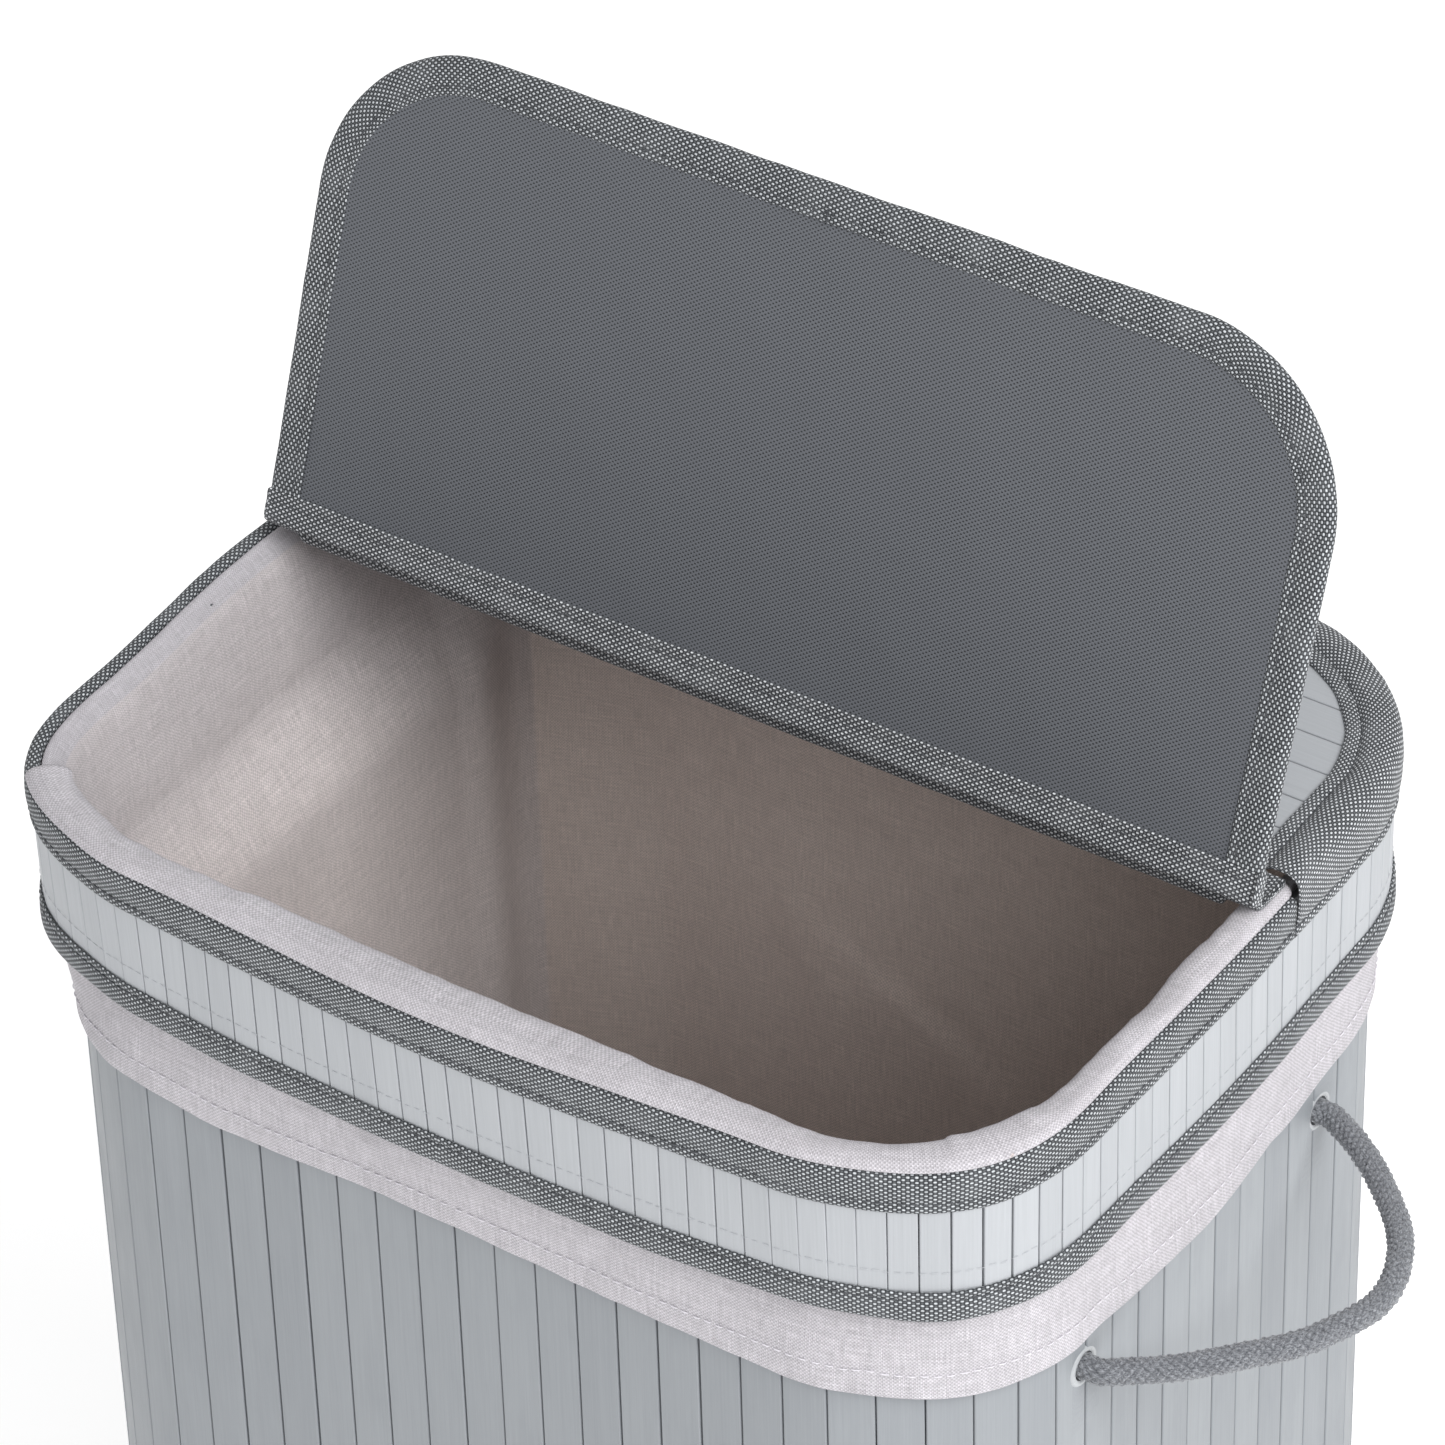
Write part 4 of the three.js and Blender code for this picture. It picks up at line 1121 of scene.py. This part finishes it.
panel_joints = [HINGE.y + 1 * MM] + list(np.arange(HINGE.y + PANEL_SLAT * 1.5, HALF_Y - 4 * MM, PANEL_SLAT))
panel_joints.append(HALF_Y - 0.4 * MM)
cross_slats("rear_panel_bamboo", "rear_panel_slats", "lid_slats", "lid", panel_joints, panel_half_width,
            0.6 * MM, RIM + 3.5 * MM, RIM + 5.3 * MM)

# ---- flap ----------------------------------------------------------------------------------------------
FLAP_CORNER = 66 * MM
TAN = math.sin(FLAP_OPEN), math.cos(FLAP_OPEN)
FLAP_REACH = (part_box("flap_edge_binding")[1].z - HINGE.z + 6.2 * MM * TAN[1]) / TAN[0]


FLAP_LEFT = 2.5 * MM  # the left edge of the flap stands this far in from the collar's face


def trim_left(x):
    """The flap's own width: its left half set in a little towards the left edge."""
    return np.where(x < 0, x * (1 - FLAP_LEFT / HALF_X), x)


def on_flap(points):
    """From the closed flap's own (x, distance from the hinge, height over the hinge) to the open flap."""
    x, v, w = trim_left(points[..., 0]), points[..., 1], points[..., 2]
    y = -v * math.cos(FLAP_OPEN) + w * math.sin(FLAP_OPEN)
    z = v * math.sin(FLAP_OPEN) + w * math.cos(FLAP_OPEN)
    return np.stack([x, HINGE.y + y, HINGE.z + z], -1)


def flap_half_width(v, inset):
    r = FLAP_CORNER - inset
    beyond = np.clip(v - (FLAP_REACH - FLAP_CORNER), 0, r)
    return HALF_X - FLAP_CORNER + np.sqrt(np.maximum(r * r - beyond ** 2, 0))


disc("flap_face_lining", "flap_lining", 2.5 * MM, -5.3 * MM, "lining", "flap", 0.3 * MM, 75, y_from=1.5 * MM,
     half_width=flap_half_width, place=on_flap, reach=FLAP_REACH)
flap_joints = [1.2 * MM] + list(np.arange(FLAP_REACH - PANEL_SLAT * 0.7, 12 * MM, -PANEL_SLAT))[::-1]
flap_joints.append(FLAP_REACH - 1.2 * MM)
cross_slats("flap_bamboo", "flap_slats", "lid_slats", "flap", flap_joints, flap_half_width, 1.2 * MM,
            -3.0 * MM, -1.2 * MM, place=on_flap)



def board(name, node, body, v, half, low, high, place=None):
    """A stiff board with square edges: half its width at each v, from low to high."""
    outline = np.concatenate([np.stack([half, v], -1), np.stack([-half, v], -1)[::-1]])
    rings = np.array([[[x, y, h] for x, y in outline] for h in (low, high)])
    uv = np.concatenate([rings[..., :2], rings[:, :1, :2]], 1)
    flat, faces, uvs = grid(rings, uv, wrap_columns=True)
    count = len(outline)
    faces = faces.tolist() + [list(range(count)), [count + k for k in range(count)][::-1]]
    ends = np.concatenate([outline, outline[::-1]])
    flat = flat if place is None else place(flat)
    made = make_object(name, flat, faces, np.concatenate([uvs, ends]), "fibre", smooth=False)
    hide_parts(node)
    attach(made, body)


V = np.concatenate([np.linspace(2 * MM, FLAP_REACH - FLAP_CORNER, 20),
                    FLAP_REACH - FLAP_CORNER + (FLAP_CORNER - 3.2 * MM) * np.sin(np.linspace(0.05, math.pi / 2, 24))])
board("flap_stiff_board", "flap_board", "flap", V, flap_half_width(V, 3.2 * MM), -4.5 * MM, -3.3 * MM, on_flap)
panel_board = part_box("rear_panel_board")
V = np.concatenate([np.linspace(panel_board[0].y, FLAT_Y, 24),
                    FLAT_Y + (CORNER - 1.4 * MM) * np.sin(np.linspace(0.05, math.pi / 2, 24))])
board("rear_panel_stiff_board", "rear_panel_board", "lid", V, panel_half_width(V, 1.3 * MM), panel_board[0].z,
      panel_board[1].z)
straight = FLAP_REACH - FLAP_CORNER
flap_arc = FLAP_CORNER * math.pi / 2
flap_front = 2 * (HALF_X - FLAP_CORNER)


def edge_place(S, D, W):
    """Distance S along the flap's edge from the hinge's left end, D in from the edge, W the height."""
    S = np.asarray(S)
    first = straight + flap_arc
    second = first + flap_front
    x = np.zeros_like(S)
    v = np.zeros_like(S)
    left = S < straight
    x[left], v[left] = (-HALF_X + D)[left], S[left]
    turn1 = (S >= straight) & (S < first)
    angle = (S[turn1] - straight) / FLAP_CORNER
    r = (FLAP_CORNER - D)[turn1]
    x[turn1] = -(HALF_X - FLAP_CORNER) - r * np.cos(angle)
    v[turn1] = straight + r * np.sin(angle)
    top = (S >= first) & (S < second)
    x[top], v[top] = S[top] - first - flap_front / 2, (FLAP_REACH - D)[top]
    turn2 = (S >= second) & (S < second + flap_arc)
    angle = (S[turn2] - second) / FLAP_CORNER
    r = (FLAP_CORNER - D)[turn2]
    x[turn2] = (HALF_X - FLAP_CORNER) + r * np.sin(angle)
    v[turn2] = straight + r * np.cos(angle)
    rest = S >= second + flap_arc
    x[rest], v[rest] = (HALF_X - D)[rest], straight - (S[rest] - second - flap_arc)
    return on_flap(np.stack([x, v, W], -1))


edge_run = 2 * (straight + flap_arc) + flap_front
edge_way = np.linspace(14.5 * MM, edge_run - 14.5 * MM, 460)
edge_profile = mm([[14.0, -5.3], [13.8, -5.75], [12.8, -6.05], [10.6, -5.75], [8.5, -6.05], [5.5, -6.2], [2.6, -6.05],
                   [0.8, -5.1], [0.0, -3.2], [0.7, -1.2], [2.6, -0.1], [6.0, 0.0], [10.6, -0.35], [12.8, -0.2],
                   [13.8, -0.5], [14.0, -0.95]])
edge_binding = banded("flap_edge_tape", edge_profile, edge_place, "shaded_tape", edge_way, False, 0.25 * MM, 23,
                      thickness=-0.6 * MM)
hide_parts("flap_edge_binding")
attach(edge_binding, "flap")


def across_place(S, V, W):
    return on_flap(np.stack([S, V, W], -1))


hinge_way = np.linspace(-HALF_X + 0.8 * MM, HALF_X - 0.8 * MM, 240)
hinge_profile = mm([[14.4, -5.6], [14.2, -6.1], [13.0, -6.3], [10.0, -5.95], [7.0, -6.25], [3.8, -6.3], [1.8, -5.8],
                    [0.95, -4.2], [0.95, -2.0], [1.5, -0.6], [3.8, 0.0], [10.0, -0.2], [13.0, 0.0], [14.2, -0.4],
                    [14.4, -1.0]])
hinge_binding = banded("flap_hinge_tape", hinge_profile, across_place, "tape", hinge_way, False, 0.25 * MM, 27,
                       thickness=-0.6 * MM, tucked=True)
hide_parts("flap_hinge_binding")
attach(hinge_binding, "flap")


def panel_place(S, Y, Z):
    """Across the rear panel's front edge; towards the ends the tape is flat, over the liner's roll."""
    top = RIM + 6.4 * MM
    thin = 1 - 0.62 * smooth(np.abs(S), HALF_X - PANEL_CUT - 2 * MM, HALF_X - PANEL_CUT + 1 * MM)
    return np.stack([S, Y, top - (top - Z) * thin], -1)


panel_way = np.linspace(-HALF_X + 1.6 * MM, HALF_X - 1.6 * MM, 300)
panel_profile = mm([[18.7, 0.95], [18.5, 0.45], [17.2, 0.25], [10, 0.3], [2.5, 0.25], [0.6, 1.0], [0.0, 3.2],
                    [0.6, 5.4], [2.5, 6.3], [10, 6.35], [13.5, 6.15], [17.2, 6.4], [18.5, 6.2], [18.7, 5.6]])
panel_profile = panel_profile + [HINGE.y, RIM]
panel_binding = banded("rear_panel_front_tape", panel_profile, panel_place, "tape", panel_way, False, 0.2 * MM, 29,
                       thickness=-0.6 * MM, tucked=True)
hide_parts("rear_panel_front_binding")
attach(panel_binding, "lid")


def panel_strip_place(S, Y, Z):
    return np.stack([S, Y, Z], -1)


def plain_seam(name, points, normal, body, **options):
    made = stitches(name, points, np.tile(normal, (len(points), 1)), "thread", **options)
    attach(made, body)
    return made


under = tuple(on_flap(np.array([0, 0, -1.0])) - on_flap(np.array([0, 0, 0.0])))
S = np.linspace(15 * MM, edge_run - 15 * MM, 700)
plain_seam("flap_edge_stitches", edge_place(S, np.full_like(S, 10.6 * MM), np.full_like(S, -5.78 * MM)), under, "flap")
over = tuple(-np.array(under))
plain_seam("flap_edge_outer_stitches", edge_place(S, np.full_like(S, 10.6 * MM), np.full_like(S, -0.3 * MM)), over,
           "flap")
X = np.linspace(-HALF_X + 2 * MM, HALF_X - 2 * MM, 300)
plain_seam("flap_hinge_stitches", across_place(X, np.full_like(X, 9.9 * MM), np.full_like(X, -6.0 * MM)), under, "flap")
plain_seam("flap_hinge_outer_stitches", across_place(X, np.full_like(X, 9.9 * MM), np.full_like(X, -0.15 * MM)), over,
           "flap")
plain_seam("panel_front_stitches", panel_place(X, np.full_like(X, HINGE.y + 13.6 * MM), np.full_like(X, RIM + 6.2 * MM)),
           (0, 0, 1), "lid")

# The cloth hinge: a strip over the joint, on the panel's top and the flap's outer face.
on_panel = [[HINGE.y + d * MM, RIM + 6.72 * MM] for d in (7.6, 7.2, 5.0, 3.2, 1.9)]
up_flap = [on_flap(np.array([0, v * MM, 0.42 * MM]))[1:] for v in (1.9, 3.2, 5.0, 7.2, 7.6)]
hinge_strip = banded("cloth_hinge", np.array(on_panel + up_flap), panel_strip_place, "tape",
                     np.linspace(-HALF_X + 4.2 * MM, HALF_X - 2.2 * MM, 260), False, 0.1 * MM, 31,
                     thickness=-0.45 * MM)
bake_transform(hinge_strip)

# ---- liner ---------------------------------------------------------------------------------------------
liner_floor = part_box("liner_bottom")[0].z + 0.6 * MM
WALL_INSET = 17 * MM  # the bag's walls stand this far inside the outline
NARROW_X, NARROW_Y = 16 * MM, 5 * MM  # the side walls give way round the rope knots
NARROW_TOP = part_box("liner_wall")[1].z
NARROW_OVER = 50 * MM
HEM = RIM - 107.3 * MM
HEM_SEAM = RIM - 96.5 * MM
HANG_FROM = RIM - 66 * MM
FOLD_AT = -(FLAT_X + 0.58 * ARC)  # where the gathered roll begins, in the front left corner
BAG_CORNER = PERIMETER / 2 + FLAT_X + ARC / 2  # the crease in the bag's rear left corner
# Centre along the outline, half width and how much, all in mm.
HEM_LOWER = [(0, 110, -2.6), (-150, 45, -3.2), (225, 60, 3.0), (295, 70, 7.0), (350, 45, 4.5), (405, 60, 6.0)]
HEM_FLARE = [(225, 70, 2.2), (340, 80, 4.5)]
ROLL_WIDER = [(0, 170, 8.6), (-170, 70, 2.2), (215, 60, 2.4)]
ROLL_LIPS = [(199, 4, 24, 1.9), (238, 5, 20, -1.1), (322, 8, 30, 1.2), (-96, 6, 34, 0.8), (FOLD_AT / MM, 3, 12, 2.2)]


def near_zero(s):
    return np.mod(np.asarray(s, float) + PERIMETER / 2, PERIMETER) - PERIMETER / 2


def swell_sum(s, swells):
    """The sum of smooth swells along the outline, in metres."""
    s = near_zero(s)
    total = 0.0
    for centre, half, much in swells:
        total = total + np.cos(np.clip(np.abs(s - centre * MM) / (half * MM), 0, 1) * math.pi / 2) ** 2 * much * MM
    return total


def skirt_place(s, offset, z):
    """A point of the skirt: below the collar it flares and hangs unevenly."""
    s, offset, z = np.broadcast_arrays(np.asarray(s, float), offset, z)
    hang = smooth(-z, -HANG_FROM, -HEM)
    base = at_offset(s, offset, z)
    ripple = value_noise(base * [1 / (22 * MM), 1 / (22 * MM), 1 / (80 * MM)] + 3, 91)
    crumple = value_noise(base / (8 * MM), 93)
    offset = offset + hang * (swell_sum(s, HEM_FLARE) + (0.5 * ripple + 0.35 * crumple + 0.3) * MM)
    pillow = smooth(-z, -HANG_FROM, -HANG_FROM + 14 * MM) * smooth(z, HEM_SEAM - 4 * MM, HANG_FROM - 14 * MM)
    offset = offset + pillow * 0.7 * MM
    z = z - hang * (swell_sum(s, HEM_LOWER) + 0.7 * MM * value_noise(base / (24 * MM), 99))
    return at_offset(s, offset, z)


rows = [[-6.0, -105.6], [-6.15, -106.6], [-5.4, -107.3], [-4.7, -106.7], [-4.55, -105], [-4.6, -101], [-4.7, -97.4],
        [-4.62, -96.5], [-4.75, -95.6], [-4.8, -92], [-4.9, -84], [-4.9, -70], [-4.9, -50], [-4.9, -30], [-4.9, -16]]
skirt = soften(raised(rows, RIM), 5)
rolled_rows = [[-4.9, -9], [-4.8, -5.5], [-4.6, -2.6], [-3.9, -0.8], [-2.6, 0.2], [-1.0, 0.25], [0.4, -0.4],
               [1.15, -0.3], [1.0, 1.0], [-0.3, 2.4], [-2.3, 3.3], [-5.0, 3.7], [-8.4, 3.2], [-11.3, 1.7], [-13.1, -0.7],
               [-13.8, -3.8], [-13.9, -8], [-14.6, -13], [-15.6, -20], [-16.5, -30], [-17, -44], [-17, -60]]
smooth_rows = [[-4.9, -9], [-4.85, -7.6], [-4.82, -6.5], [-4.8, -5.4], [-4.7, -4.2], [-4.65, -3.2], [-4.8, -2.3], [-5.2, -1.8],
               [-5.9, -1.6], [-6.8, -1.7], [-8.0, -2.2], [-9.2, -3.0], [-10.4, -4.0], [-11.5, -5.2], [-12.5, -6.8],
               [-13.4, -9.0], [-14.2, -12], [-14.9, -16], [-15.7, -22], [-16.4, -32], [-17, -46], [-17, -60]]
rolled = soften(raised(rolled_rows, RIM), 4)
flat_over = soften(raised(smooth_rows, RIM), 4)
inside = np.stack([np.full(130, -WALL_INSET), np.linspace(RIM - 62 * MM, liner_floor + 4 * MM, 130)], -1)
foot = raised([[-17.4, 2.4], [-18.6, 0.9], [-21.5, 0.2], [-26, 0.1]], liner_floor)
cloth_run = lengths(np.concatenate([skirt, rolled, inside, foot]))
liner_s = np.linspace(0, PERIMETER, 561)
for centre, half, count in ((BAG_CORNER, 12 * MM, 20), (PERIMETER + FOLD_AT, 8 * MM, 14), (199 * MM, 8 * MM, 10)):
    liner_s = np.concatenate([liner_s, np.linspace(centre - half, centre + half, count)])
liner_s = np.sort(liner_s)
liner_s = liner_s[np.concatenate([[True], np.diff(liner_s) > 0.35 * MM])]

# The rolled part: wide at the front, tucked in on the right, hardly there on the left and at the back.
here = near_zero(liner_s)[:, None]
gathered = smooth(here, FOLD_AT - 2 * MM, FOLD_AT + 4 * MM) * (1 - smooth(here, side_end - 1 * MM,
                                                                        side_end + 9 * MM))
o, z = rolled[:, 0][None], rolled[:, 1][None]
wider = swell_sum(liner_s, ROLL_WIDER)[:, None] * np.clip((-o - 6 * MM) / (7.5 * MM), 0, 1)
wider = wider * smooth(z, RIM - 30 * MM, RIM - 4 * MM)
pulled = smooth(here, 205 * MM, 280 * MM) * 2.0 * MM * np.clip((o + 3 * MM) / (3.6 * MM), 0, 1)
lips = 0.0
for centre, rise, fall, much in ROLL_LIPS:
    past = here / MM - centre
    lips = lips + much * MM * smooth(past, 0, rise) * np.exp(-np.clip(past, 0, None) / fall)
top_part = smooth(z, RIM - 16 * MM, RIM - 1 * MM) * smooth(-o, 1 * MM, 6 * MM)
roll_o = o - wider - pulled - lips * top_part
roll_z = z + lips * 0.35 * top_part + 0 * here
flat_o, flat_z = flat_over[:, 0][None], flat_over[:, 1][None]
mixed_o = flat_o + (roll_o - flat_o) * gathered
mixed_z = flat_z + (roll_z - flat_z) * gathered
mixed = at_offset(liner_s[:, None], mixed_o, mixed_z)
pucker = value_noise(mixed / (14 * MM), 95) * 0.75 + 0.3 * value_noise(mixed / (5 * MM), 97)
loose = smooth(mixed_z, RIM - 14 * MM, RIM - 1 * MM) * smooth(-mixed_o, 2 * MM, 7 * MM)
roll_points = at_offset(liner_s[:, None], mixed_o - loose * pucker * 0.8 * MM, mixed_z + loose * pucker * 0.55 * MM)

# The bag's walls: soft folds, a crease in the rear left corner, a slack patch on the far wall.
S, Z = np.meshgrid(liner_s, inside[:, 1], indexing="ij")
base = at_offset(S, -WALL_INSET, Z)
depth = smooth(-Z, -(RIM - 20 * MM), -(RIM - 110 * MM))
wide = value_noise(base * [1 / (70 * MM), 1 / (70 * MM), 1 / (210 * MM)], 81)
folds = value_noise(base * [1 / (26 * MM), 1 / (26 * MM), 1 / (120 * MM)], 83)
creases = 1 - np.abs(value_noise(base * [1 / (48 * MM), 1 / (48 * MM), 1 / (75 * MM)] + 9, 85)) * 2
fine = value_noise(base / (9 * MM), 87)
inward = depth * (1.6 * wide + 0.9 * folds + 0.8 * np.clip(creases, 0, 1) ** 3 + 0.12 * fine) * MM
slack_x, slack_z = -(base[..., 0] + 10 * MM), base[..., 2] - 0.395
ridge_at = slack_z - 0.55 * slack_x
slack = np.exp(-(slack_x / (55 * MM)) ** 2) * (base[..., 1] > 0) * (
    2.6 * np.exp(-(np.clip(ridge_at, 0, None) / (7 * MM)) ** 2 - (np.clip(-ridge_at, 0, None) / (42 * MM)) ** 2))
inward = inward * (1 - 0.6 * np.exp(-((S - BAG_CORNER) / (30 * MM)) ** 2)) + depth * slack * MM
walls = at_offset(S, -WALL_INSET - inward, Z)
corner_r = CORNER - WALL_INSET
knee = np.array([-FLAT_X - corner_r * 0.755, FLAT_Y + corner_r * 0.755])
rear_end, left_end_point = np.array([-FLAT_X, FLAT_Y + corner_r]), np.array([-FLAT_X - corner_r, FLAT_Y])
turned_by = np.clip((S - (BAG_CORNER - ARC / 2)) / ARC, 0, 1)[..., None]
straight_runs = np.where(turned_by < 0.5, rear_end + (knee - rear_end) * turned_by * 2,
                         knee + (left_end_point - knee) * (turned_by * 2 - 1))
round_corner = np.array([-FLAT_X, FLAT_Y]) + corner_r * np.concatenate(
    [-np.sin(turned_by * math.pi / 2), np.cos(turned_by * math.pi / 2)], -1)
walls[..., :2] += (straight_runs - round_corner) * smooth(-Z, -(RIM - 30 * MM), -(RIM - 95 * MM))[..., None]


def knot_room(y):
    """1 beside the rope knots, where the bag's side walls stand in, 0 towards the corners."""
    return 1 - smooth(np.abs(y), 98 * MM, 134 * MM)


def give_way(points):
    narrow = smooth(NARROW_TOP - points[..., 2], 0, NARROW_OVER)
    points = points.copy()
    points[..., 0] -= np.sign(points[..., 0]) * narrow * NARROW_X * knot_room(points[..., 1]) * smooth(
        np.abs(points[..., 0]), 0.1, 0.17)
    points[..., 1] *= 1 - narrow * NARROW_Y / (HALF_Y - WALL_INSET)
    return points


walls = give_way(walls)
foot_points = give_way(at_offset(liner_s[:, None], foot[:, 0][None], foot[:, 1][None]))
skirt_points = skirt_place(liner_s[:, None], skirt[:, 0][None], skirt[:, 1][None])
points = np.concatenate([skirt_points, roll_points, walls, foot_points], axis=1)
along = here * np.ones(points.shape[1])
# Painted light inside the bag, carried by tone: the cloth turns to the warm pale tint with depth and on the far wall
# beyond the rear left crease (painted bounce light), and to brown towards the right below the rim (painted shade).
beyond_crease = smooth(np.mod(-liner_s + BAG_CORNER + PERIMETER / 2, PERIMETER)[:, None] - PERIMETER / 2,
                       -1.5 * MM, 1.5 * MM)
inner = np.zeros(points.shape[:2])
first_wall = skirt_points.shape[1] + 2 * roll_points.shape[1] // 3
inner[:, first_wall:] = 1
deep = smooth(-points[..., 2], -(RIM - 4 * MM), -(RIM - 160 * MM))
tone = inner * (0.25 + 0.35 * deep + 0.4 * beyond_crease * smooth(-points[..., 2], -(RIM - 6 * MM), -(RIM - 30 * MM)))
shaded = inner * smooth(points[..., 0], -90 * MM, 225 * MM) * smooth(-points[..., 2], -(RIM - 12 * MM), -(RIM - 60 * MM))
tone = tone + shaded * (2 - tone)
S, V = np.meshgrid(liner_s, cloth_run, indexing="ij")
liner_points, liner_faces, liner_uvs = grid(points[:-1], np.stack([S, V], -1), wrap_rows=True, flip=True)
liner_normals = np.zeros_like(liner_points)
face_normals = np.cross(liner_points[liner_faces[:, 2]] - liner_points[liner_faces[:, 0]],
                        liner_points[liner_faces[:, 3]] - liner_points[liner_faces[:, 1]])
for k in range(4):
    np.add.at(liner_normals, liner_faces[:, k], face_normals)
liner_normals /= np.linalg.norm(liner_normals, axis=1)[:, None]


def liner_part(name, chosen):
    """A part of the bag that shades as if it were still joined to the rest."""
    used, faces = np.unique(liner_faces[chosen], return_inverse=True)
    uvs = liner_uvs.reshape(-1, 4, 2)[chosen].reshape(-1, 2)
    made = make_object(name, liner_points[used], faces.reshape(-1, 4), uvs, "cotton", tone=tone[:-1].ravel()[used],
                       turn_out=False)
    made.data.normals_split_custom_set_from_vertices(liner_normals[used])
    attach(made, "liner")
    return made


# The gathered roll is a part of its own, with a mesh of its own.
along = near_zero(liner_s)[liner_faces // points.shape[1]]
on_roll = (along > FOLD_AT - 2 * MM) & (along < side_end + 9 * MM)
on_roll = (on_roll & (liner_points[:, 2][liner_faces] > RIM - 0.9 * MM)).all(axis=1)
liner = liner_part("liner_bag", ~on_roll)
roll = liner_part("liner_roll", on_roll)
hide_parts("liner_cuff", "liner_wall")
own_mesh(roll)


def bag_half_width(y, inset):
    scale_y = 1 - NARROW_Y / (HALF_Y - WALL_INSET)
    return outline_half_width(y / scale_y, inset) - NARROW_X * knot_room(y / scale_y)


bottom = disc("liner_bag_bottom", "liner_bottom", 25 * MM, liner_floor, "cotton", "liner", 0.5 * MM, 101,
              half_width=bag_half_width, reach=HALF_Y - NARROW_Y)
seam_line = skirt_place(whole_way, -4.3 * MM, HEM_SEAM)
hem_seam = stitches("skirt_hem_stitches", seam_line, np.concatenate([around(whole_way)[1], 0 * whole_way[:, None]], -1),
                    "pale_thread", radius=0.26 * MM, length=3.2 * MM, gap=1.5 * MM)
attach(hem_seam, "liner")

# Where the flap's tapes meet end to end, they are tacked down with a close zigzag.
for name, low, high in (("flap_hinge_tack", 0.6 * MM, 14 * MM), ("flap_edge_tack", FLAP_REACH - 14 * MM, FLAP_REACH - 1 * MM)):
    v = np.linspace(low, high, 23)
    x = (np.arange(23) % 2 - 0.5) * 1.7 * MM
    plain_seam(name, on_flap(np.stack([x, v, np.full(23, -6.1 * MM)], -1)), under, "flap", length=1.5 * MM, gap=0.25 * MM,
               radius=0.24 * MM, waver=0.1 * MM)

# ---- CAD nodes that stay -------------------------------------------------------------------------------
KEEP = {"board": ["base_board"],
        "eyelet": [f"eyelet_washer_{side}_{end}" for side in ("right", "left") for end in ("front", "rear")]}
for look, nodes in KEEP.items():
    for node in nodes:
        frame["nodes"][node].data.materials.clear()
        frame["nodes"][node].data.materials.append(LOOK[look])

# ---- surroundings --------------------------------------------------------------------------------------
floor_shader = Shader("pale_floor")
floor_grain = floor_shader.noise(floor_shader.uv, 3.0, 3.0)
floor_color = floor_shader.mix(floor_grain, srgb(243, 243, 243), srgb(247, 247, 247))
floor_material = floor_shader.finish(floor_color, 0.9, **{"Emission Color": (1, 1, 1, 1), "Emission Strength": 0.5})
bpy.ops.mesh.primitive_plane_add(size=24, location=(0, 0, -0.5 * MM))
floor = bpy.context.object
floor.name = "floor"
floor.data.materials.append(floor_material)

world = bpy.data.worlds.new("studio")
bpy.context.scene.world = world
world.use_nodes = True
sky = world.node_tree.nodes["Background"]
sky.inputs["Color"].default_value = (1.0, 1.0, 1.0, 1.0)
sky.inputs["Strength"].default_value = 0.5


def softbox(name, place, target, size, power, color=(1, 1, 1)):
    light = bpy.data.lights.new(name, "AREA")
    light.shape = "DISK"
    light.size = size
    light.energy = power
    light.color = color
    lamp = bpy.data.objects.new(name, light)
    lamp.location = place
    lamp.rotation_euler = (Vector(target) - Vector(place)).to_track_quat("-Z", "Y").to_euler()
    bpy.context.scene.collection.objects.link(lamp)


softbox("key", (2.3, -0.7, 2.9), (0, 0, 0.5), 2.0, 88)
softbox("fill", (1.9, -2.7, 2.9), (0, 0, 0.5), 1.6, 24)
